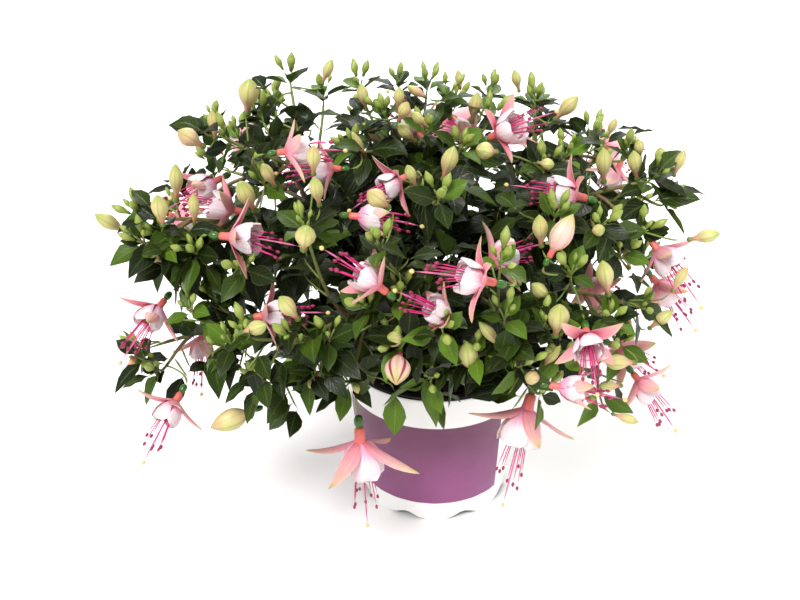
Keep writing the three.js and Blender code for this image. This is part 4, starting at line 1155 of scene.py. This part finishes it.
class Value:
    """A value in a finish's nodes; a sum written with it becomes Math nodes."""

    def __init__(self, finish, socket):
        self.finish = finish
        self.socket = socket

    def math(self, operation, *values):
        return self.finish.node("ShaderNodeMath", {"operation": operation}, dict(enumerate(values)))

    def __add__(self, other):
        return self.math("ADD", self, other)

    __radd__ = __add__

    def __mul__(self, other):
        return self.math("MULTIPLY", self, other)

    __rmul__ = __mul__

    def __sub__(self, other):
        return self.math("SUBTRACT", self, other)

    def __rsub__(self, other):
        return self.math("SUBTRACT", other, self)

    def __truediv__(self, other):
        return self.math("DIVIDE", self, other)

    def __abs__(self):
        return self.math("ABSOLUTE", self)

    def wave(self):
        return self.math("SINE", self)

    def fraction(self):
        return self.math("FRACT", self)

    def most(self, other):
        return self.math("MAXIMUM", self, other)

    def rises(self, low, high):
        """0 below `low`, 1 above `high` and smooth between them; it falls where `low` is the higher."""
        if low > high:
            return 1 - self.rises(high, low)
        settings = {"interpolation_type": "SMOOTHSTEP"}
        values = {"Value": self, "From Min": low, "From Max": high}
        return self.finish.node("ShaderNodeMapRange", settings, values)


class Finish:
    """A material on one Principled shader, made from a few kinds of node."""

    def __init__(self, name, **constants):
        self.material = bpy.data.materials.new(name)
        self.material.use_nodes = True
        self.tree = self.material.node_tree
        self.shader = self.tree.nodes["Principled BSDF"]
        for socket, value in constants.items():
            self.shader.inputs[socket.replace("_", " ")].default_value = value
        self.place = self.node("ShaderNodeTexCoord", {}, {}, "Object")

    def node(self, kind, settings, values, output=0):
        node = self.tree.nodes.new(kind)
        for name, value in settings.items():
            if name == "stops":
                ramp = node.color_ramp.elements
                ramp[0].position, ramp[1].position = value[0][0], value[-1][0]
                for position, _ in value[1:-1]:
                    ramp.new(position)
                for element, (_, colour) in zip(ramp, value):
                    element.color = (*colour, 1)
            else:
                setattr(node, name, value)
        for socket, value in values.items():
            self.feed(node.inputs[socket], value)
        return Value(self, node.outputs[output])

    def feed(self, socket, value):
        if isinstance(value, Value):
            self.tree.links.new(value.socket, socket)
        elif isinstance(value, tuple) and socket.type == "RGBA":
            socket.default_value = (*value[:3], 1)
        else:
            socket.default_value = value

    def way(self):
        """Where a point lies on its leaf or bud: across, along and which face."""
        return self.parts(self.node("ShaderNodeAttribute", {"attribute_name": "way"}, {}, "Vector"))

    def parts(self, vector):
        split = self.node("ShaderNodeSeparateXYZ", {}, {0: vector}).socket.node
        return [Value(self, socket) for socket in split.outputs]

    def draw(self):
        return self.node("ShaderNodeAttribute", {"attribute_name": "draw"}, {}, "Fac")

    def noise(self, scale, detail=2.0):
        return self.node("ShaderNodeTexNoise", {}, {"Vector": self.place, "Scale": scale, "Detail": detail})

    def blend(self, factor, first, second):
        return self.node("ShaderNodeMix", {"data_type": "RGBA"}, {0: factor, 6: first, 7: second}, 2)

    def ramp(self, value, stops, interpolation="LINEAR"):
        colour = self.node("ShaderNodeValToRGB", {"stops": stops}, {0: value})
        colour.socket.node.color_ramp.interpolation = interpolation
        return colour

    def coat(self, colour, roughness, height=None, strength=1.0, depth=1.0):
        """Feeds the shader its colour, its roughness and, with a height, a bump `depth` millimetres deep."""
        self.feed(self.shader.inputs["Base Color"], colour)
        self.feed(self.shader.inputs["Roughness"], roughness)
        if height:
            values = {"Strength": strength, "Distance": depth * MM, "Height": height}
            self.feed(self.shader.inputs["Normal"], self.node("ShaderNodeBump", {}, values))
        return self.material


def leaf_finish(colours):
    """Green with pale veins and rim, a paler underside, a brownish stalk, and painted light that pales the
    leaves hanging low in front.
    """
    finish = Finish("green_leaf", Specular_IOR_Level=0.2)
    across, along, upper = finish.way()
    draw = finish.draw()
    edge = abs(across)
    slant = (along * 9 - edge * 2.6 + 0.3 * finish.noise(120)).fraction()
    side_vein = abs(slant - 0.5).rises(0.36, 0.5) * edge.rises(1.0, 0.7)
    midrib = edge.rises(0.16, 0.0)
    vein = midrib.most(0.55 * side_vein)
    patches = finish.noise(45, 4)
    # Painted light: the draw blends to the paler green, partly as random tone and partly as light on the
    # leaves low in front
    green = finish.blend(draw.rises(0.05, 0.85), colours.leaf[:], colours.paler_and_sunlit_leaf[:])
    green = finish.blend(patches.rises(0.35, 0.75) * 0.4, green, ink("0d1504"))
    green = finish.blend(vein * (0.1 + 0.35 * draw), green, ink("7f9440"))
    green = finish.blend(edge.rises(0.92, 1.0) * 0.3, green, ink("6f8440"))
    green = finish.blend(upper.rises(0.0, -1.0) * 0.4, green, ink("566a34"))
    green = finish.blend(along.rises(0.19, 0.1) * 0.8, green, ink("7d6a34"))
    roughness = 0.27 + 0.22 * finish.noise(260) + 0.12 * upper.rises(0.0, -1.0)
    height = finish.noise(420, 3) * 0.35 - 0.9 * midrib - 0.6 * side_vein
    return finish.coat(green, roughness, height, 0.55, 0.5)


def stem_finish(colours):
    """Brown old wood that turns green where it is young, with reddish streaks."""
    finish = Finish("stem", Subsurface_Weight=0.05, Subsurface_Scale=0.001)
    _, along, _ = finish.way()
    draw = finish.draw()
    streaks = finish.noise(160, 3)
    young = (draw * 0.6 + along * 0.5).rises(0.15, 0.8)
    colour = finish.blend(young, colours.stem[:], ink("6f8a3a"))
    colour = finish.blend(streaks.rises(0.45, 0.7) * 0.5, colour, ink("7a3a33"))
    return finish.coat(colour, 0.42 + 0.2 * streaks, finish.noise(700), 0.4, 0.2)


def bud_finish(colours):
    """Lime that ripens to cream and pink, with green seams; the ripest has dark red slits."""
    finish = Finish("bud", Subsurface_Weight=0.15, Subsurface_Scale=0.002)
    across, along, _ = finish.way()
    draw = finish.draw()
    seams = across.rises(0.55, 1.0)
    cream = finish.ramp(along, (
        (0.0, ink("4a6a26")), (0.13, ink("5c7a2c")), (0.17, ink("a86f50")), (0.26, ink("cf9474")),
        (0.36, ink("ccaa82")), (0.52, ink("c6b87e")), (0.78, ink("c2bd78")), (1.0, ink("94a34c")),
    ))
    lime = finish.ramp(along, (
        (0.0, ink("4a6822")), (0.3, ink("748a34")), (0.7, ink("96a44e")), (1.0, ink("7a9238")),
    ))
    colour = finish.blend(draw.rises(0.05, 0.45), lime, cream)
    blush = finish.noise(90).rises(0.4, 0.7) * draw.rises(0.3, 0.9) * along.rises(0.2, 0.4)
    colour = finish.blend(blush * (draw * 1.1 - 0.3).most(0.0), colour, colours.sepal[:])
    opening = draw.rises(0.72, 0.84) * along.rises(0.25, 0.6) * along.rises(1.0, 0.7)
    colour = finish.blend(opening * 0.75, colour, ink("e2b7b2"))
    lines = seams.most(0.6 * across.rises(-0.75, -1.0)) * along.rises(0.22, 0.5)
    colour = finish.blend(lines * 0.5, colour, ink("7a8a3a"))
    slits = draw.rises(0.92, 0.96) * across.rises(-0.62, -0.86) * along.rises(0.42, 0.55)
    colour = finish.blend(slits * 0.92, colour, ink("8a1c34"))
    grooves = seams * 0.4 - 0.5 * across.rises(-0.8, -1.0) + 0.3 * finish.noise(500)
    return finish.coat(colour, 0.38 + 0.12 * finish.noise(300), grooves, 0.5, 0.3)


def ovary_finish():
    """The green of a seed pod, darkest in its middle."""
    finish = Finish("seed_pod", Subsurface_Weight=0.1, Subsurface_Scale=0.002)
    _, along, _ = finish.way()
    colour = finish.ramp(along, (
        (0.0, ink("4b662a")), (0.5, ink("2f5c18")), (0.9, ink("3a681e")), (1.0, ink("6c6a34")),
    ))
    colour = finish.blend(finish.noise(300, 3).rises(0.5, 0.8) * 0.4, colour, ink("2c5a18"))
    return finish.coat(colour, 0.22 + 0.15 * finish.noise(400), finish.noise(600), 0.25, 0.15)


def calyx_finish(colours):
    """Pink that pales towards greenish tips, deeper inside, with fine lines along it."""
    finish = Finish("pink_calyx", Subsurface_Weight=0.2, Subsurface_Scale=0.002)
    across, along, upper = finish.way()
    draw = finish.draw()
    pale = finish.ramp(along.rises(-0.3, 1.0), (
        (0.0, ink("c8624f")), (0.12, ink("df6e6c")), (0.24, ink("dd6c7a")), (0.42, ink("df909a")),
        (0.7, ink("dfa9a9")), (0.92, ink("dcb69e")), (1.0, ink("a9b06a")),
    ))
    inner = finish.blend(along.rises(0.3, 1.0), ink("e83c74"), ink("f493aa"))
    colour = finish.blend(upper.rises(0.0, -1.0) * (0.7 - 0.45 * draw), pale, inner)
    lines = (across * 13 + 0.6 * finish.noise(120)).wave().rises(0.35, 1.0)
    colour = finish.blend(lines * 0.3 * along.rises(1.0, 0.5), colour, ink("dc5a7c"))
    colour = finish.blend(finish.noise(150, 3).rises(0.45, 0.75) * 0.25, colour, colours.sepal[:])
    height = 0.5 * lines + 0.4 * finish.noise(500)
    return finish.coat(colour, 0.4 + 0.15 * finish.noise(300), height, 0.4, 0.25)


def petal_finish(colours):
    """White, with a blush and pink veins towards the petal's foot."""
    finish = Finish("white_petal", Subsurface_Weight=0.3, Subsurface_Scale=0.003)
    across, along, _ = finish.way()
    draw = finish.draw()
    veins = (across * 17 + 1.5 * finish.noise(90)).wave().rises(0.2, 1.0)
    blush = along.rises(0.75, 0.1) + 0.25 * finish.noise(70)
    colour = finish.blend(blush.rises(0.4, 1.25), colours.petal[:], ink("ec8fb0"))
    colour = finish.blend(veins * along.rises(0.9, 0.1) * 0.3, colour, ink("e07aa2"))
    colour = finish.blend(draw * 0.12, colour, ink("f2c9d6"))
    height = 0.6 * veins + 0.5 * finish.noise(260, 3)
    return finish.coat(colour, 0.5 + 0.1 * finish.noise(300), height, 0.4, 0.3)


def thread_finish(colours):
    """Magenta threads, dark anthers, a paler style and its cream stigma."""
    finish = Finish("stamens", Subsurface_Weight=0.1, Subsurface_Scale=0.001)
    stops = (
        (0.0, colours.thread[:]), (0.2, ink("8e1f4a")), (0.5, ink("c9658f")), (0.85, ink("d6c47a")),
    )
    colour = finish.ramp(finish.draw(), stops, "CONSTANT")
    colour = finish.blend(finish.noise(500).rises(0.4, 0.8) * 0.3, colour, ink("b34a78"))
    return finish.coat(colour, 0.45 + 0.2 * finish.noise(700), finish.noise(1500), 0.5, 0.1)


def compost_finishes():
    """Coarse dark compost and pale grains."""
    dark = Finish("dark_compost")
    grain = dark.noise(420, 6)
    colour = dark.ramp(grain, (
        (0.25, ink("120d09")), (0.5, ink("2a1f17")), (0.62, ink("47362a")), (0.8, ink("6b5543")),
    ))
    dark.coat(colour, 0.85 + 0.1 * grain, dark.noise(600, 6), 0.9, 1.2)
    pale = Finish("white_grain")
    colour = pale.blend(pale.noise(700, 3), ink("b9b3a4"), ink("e9e5da"))
    pale.coat(colour, 0.8 + 0.15 * pale.noise(900), pale.noise(900, 4), 0.7, 0.3)
    return dark.material, pale.material


def pot_finish(colours):
    """Black plastic with a little dust on it."""
    finish = Finish("black_plastic")
    dust = finish.noise(35, 5).rises(0.45, 0.8)
    colour = finish.blend(dust * 0.3, colours.pot[:], ink("5a534b"))
    return finish.coat(colour, 0.42 + 0.25 * dust, finish.noise(1400, 3), 0.25, 0.15)


def cover_finish(colours, sizes):
    """White glossy card with a printed purple ring that ends in a slanted cut at the right."""
    finish = Finish("white_cover")
    x, y, z = finish.parts(finish.place)
    turn = finish.node("ShaderNodeMath", {"operation": "ARCTAN2"}, {0: x, 1: y * -1.0}) * math.degrees(1)
    level = z / MM
    low, high = sizes.band_low / MM, sizes.band_high / MM
    band = level.rises(low - BAND_SOFT, low + BAND_SOFT) * level.rises(high + BAND_SOFT, high - BAND_SOFT)
    band = band * (BAND_RIGHT_END - BAND_SLANT * level - turn).rises(-BAND_END_SOFT, BAND_END_SOFT)
    band = band * turn.rises(BAND_LEFT_END - BAND_END_SOFT, BAND_LEFT_END + BAND_END_SOFT)
    purple = finish.blend(level.rises(*BAND_SHADE), colours.band_low[:], colours.band_high[:])
    purple = finish.blend(finish.noise(60, 3) * 0.12, purple, ink("c98ab8"))
    white = finish.blend(finish.noise(25, 4).rises(0.4, 0.8) * 0.25, colours.cover[:], ink("e4e2de"))
    colour = finish.blend(band, white, purple)
    roughness = 0.3 + 0.1 * finish.noise(90, 3) + 0.05 * band
    creases = finish.noise(30, 3) * 0.8 + finish.noise(900) * 0.06
    return finish.coat(colour, roughness, creases, 0.25, 0.8)


# The stage


def add_floor(scene):
    """A pale floor that reaches far past the plant."""
    finish = Finish("pale_floor")
    finish.coat(finish.blend(finish.noise(3, 3), ink("f0efed"), ink("f3f2f0")), 0.7)
    body = bmesh.new()
    bmesh.ops.create_grid(body, x_segments=4, y_segments=4, size=FLOOR_REACH)
    mesh = bpy.data.meshes.new("floor")
    body.to_mesh(mesh)
    body.free()
    mesh.materials.append(finish.material)
    ground = bpy.data.objects.new("floor", mesh)
    scene.collection.objects.link(ground)
    ground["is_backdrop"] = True


def hang(scene, lamp, place):
    """Hangs a light at a place and turns it to the middle of the plant."""
    light = bpy.data.objects.new(lamp.name, lamp)
    light.location = place
    light.rotation_euler = (Vector(PLANT_MIDDLE) - Vector(place)).to_track_quat("-Z", "Y").to_euler()
    scene.collection.objects.link(light)


def add_lights(scene):
    """An even white room, a wide sun and two soft lamps."""
    world = bpy.data.worlds.new("studio")
    world.use_nodes = True
    sky = world.node_tree.nodes["Background"].inputs
    sky["Color"].default_value = (1, 1, 1, 1)
    sky["Strength"].default_value = ROOM_LIGHT
    scene.world = world
    sun = bpy.data.lights.new("sun", "SUN")
    sun.energy = SUN_STRENGTH
    sun.angle = math.radians(SUN_WIDTH)
    hang(scene, sun, SUN_PLACE)
    for name, place, size, power in LAMPS:
        lamp = bpy.data.lights.new(name, "AREA")
        lamp.energy = power
        lamp.size = size
        hang(scene, lamp, place)


def add_camera(scene):
    """The camera, which sees the plant as the photograph does."""
    lens = bpy.data.cameras.new("camera")
    lens.lens = CAMERA_LENS
    lens.sensor_width = CAMERA_SENSOR
    camera = bpy.data.objects.new("camera", lens)
    camera.location = CAMERA_PLACE
    camera.rotation_euler = (math.radians(CAMERA_TILT), 0, 0)
    scene.collection.objects.link(camera)
    scene.camera = camera


# The add-on


def size_choice(name, description, default, least, most):
    """A size in metres that the panel shows."""
    return bpy.props.FloatProperty(name=name, description=description, default=default, min=least, max=most,
                                   unit="LENGTH", subtype="DISTANCE")


class FuchsiaSizes(bpy.types.PropertyGroup):
    """Sizes of the plant and its pot."""

    leaf_length: size_choice("Leaf length", "Length of a full-grown leaf with its stalk", 0.032, 0.02, 0.06)
    lump_height: size_choice("Compost lumps", "Height of the lumps on the compost", 0.0016, 0.0, 0.004)
    band_low: size_choice("Band bottom", "Height where the cover's purple band starts", 0.015, 0.006, 0.05)
    band_high: size_choice("Band top", "Height where the cover's purple band ends", 0.080, 0.05, 0.098)


def colour_choice(name, description, code):
    """A colour that the panel shows, given by its six-digit code."""
    return bpy.props.FloatVectorProperty(
        name=name, description=description, default=ink(code), size=3, min=0, max=1, subtype="COLOR")


class FuchsiaColours(bpy.types.PropertyGroup):
    """Colours of the plant and its pot."""

    leaf: colour_choice("Leaf", "Dark green of grown leaves, where no painted light falls", "131e04")
    # The paler leaf green is partly a random tone and partly painted light on the leaves that hang low in
    # front
    paler_and_sunlit_leaf: colour_choice("Paler and sunlit leaf", "Paler leaves, and painted light on leaves that hang low in front", "52701a")
    stem: colour_choice("Stem", "Old wood near the soil", "6b4a35")
    sepal: colour_choice("Sepal", "Blush on sepals and ripe buds", "ee7f98")
    petal: colour_choice("Petal", "Inner petals", "e4cfd3")
    thread: colour_choice("Stamen", "Threads of the stamens", "cf1272")
    cover: colour_choice("Cover", "White of the pot cover", "f6f6f4")
    band_low: colour_choice("Band, lower edge", "Purple at the bottom of the band", "843c71")
    band_high: colour_choice("Band, upper edge", "Purple at the top of the band", "5d2246")
    pot: colour_choice("Pot", "Plastic of the inner pot", "1b1a1a")


class FUCHSIA_OT_pot(bpy.types.Operator):
    """Adds the black plastic pot that holds the compost."""

    bl_idname = "fuchsia.pot"
    bl_label = "Inner pot"

    def execute(self, context):
        make_pot(pot_finish(context.scene.fuchsia_colours))
        return {"FINISHED"}


class FUCHSIA_OT_cover(bpy.types.Operator):
    """Adds the white pot cover with its purple band."""

    bl_idname = "fuchsia.cover"
    bl_label = "Pot cover"

    def execute(self, context):
        make_cover(cover_finish(context.scene.fuchsia_colours, context.scene.fuchsia_sizes))
        return {"FINISHED"}


class FUCHSIA_OT_compost(bpy.types.Operator):
    """Adds the compost with its crumbs."""

    bl_idname = "fuchsia.compost"
    bl_label = "Compost"

    def execute(self, context):
        make_compost(compost_finishes(), context.scene.fuchsia_sizes.lump_height / MM)
        return {"FINISHED"}


class FUCHSIA_OT_branches(bpy.types.Operator):
    """Adds the leafy branches with their buds, ovaries and flower stalks."""

    bl_idname = "fuchsia.branches"
    bl_label = "Leafy branches"

    def execute(self, context):
        colours = context.scene.fuchsia_colours
        finishes = {
            "leaf": leaf_finish(colours), "stem": stem_finish(colours), "bud": bud_finish(colours),
            "ovary": ovary_finish(),
        }
        for index, name in enumerate(BRANCHES):
            branch_piece(index, name, finishes, context.scene.fuchsia_sizes.leaf_length / MM)
        return {"FINISHED"}


class FUCHSIA_OT_blooms(bpy.types.Operator):
    """Adds the blooms, each with its tube, four sepals, petals, stamens and style."""

    bl_idname = "fuchsia.blooms"
    bl_label = "Blooms"

    def execute(self, context):
        colours = context.scene.fuchsia_colours
        finishes = {
            "calyx": calyx_finish(colours), "petal": petal_finish(colours),
            "thread": thread_finish(colours), "bud": bud_finish(colours),
        }
        for index, bloom in enumerate(FLOWERS):
            bloom_pieces(index, bloom, finishes)
        return {"FINISHED"}


class FUCHSIA_OT_stage(bpy.types.Operator):
    """Adds the pale floor, the soft lights and the camera."""

    bl_idname = "fuchsia.stage"
    bl_label = "Stage"

    def execute(self, context):
        context.scene.view_settings.view_transform = "Standard"
        add_floor(context.scene)
        add_lights(context.scene)
        add_camera(context.scene)
        return {"FINISHED"}


STEPS = (
    FUCHSIA_OT_pot, FUCHSIA_OT_cover, FUCHSIA_OT_compost, FUCHSIA_OT_branches, FUCHSIA_OT_blooms,
    FUCHSIA_OT_stage,
)


class FUCHSIA_PT_panel(bpy.types.Panel):
    """The sizes, colours and steps of the potted fuchsia."""

    bl_idname = "FUCHSIA_PT_panel"
    bl_label = "Potted fuchsia"
    bl_space_type = "VIEW_3D"
    bl_region_type = "UI"
    bl_category = "Fuchsia"

    def draw(self, context):
        for group in (context.scene.fuchsia_sizes, context.scene.fuchsia_colours):
            for name in group.__annotations__:
                self.layout.prop(group, name)
        for step in STEPS:
            self.layout.operator(step.bl_idname)


CLASSES = (FuchsiaSizes, FuchsiaColours, *STEPS, FUCHSIA_PT_panel)


def register():
    for each in CLASSES:
        bpy.utils.register_class(each)
    bpy.types.Scene.fuchsia_sizes = bpy.props.PointerProperty(type=FuchsiaSizes)
    bpy.types.Scene.fuchsia_colours = bpy.props.PointerProperty(type=FuchsiaColours)


def unregister():
    del bpy.types.Scene.fuchsia_colours
    del bpy.types.Scene.fuchsia_sizes
    for each in reversed(CLASSES):
        bpy.utils.unregister_class(each)


def main():
    register()
    for step in STEPS:
        group, name = step.bl_idname.split(".")
        getattr(getattr(bpy.ops, group), name)()
    boxes = {"cad": cad_box, "visual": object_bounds()}
    {name: [list(corner) for corner in box] for name, box in boxes.items()}


if __name__ == "__main__":
    main()
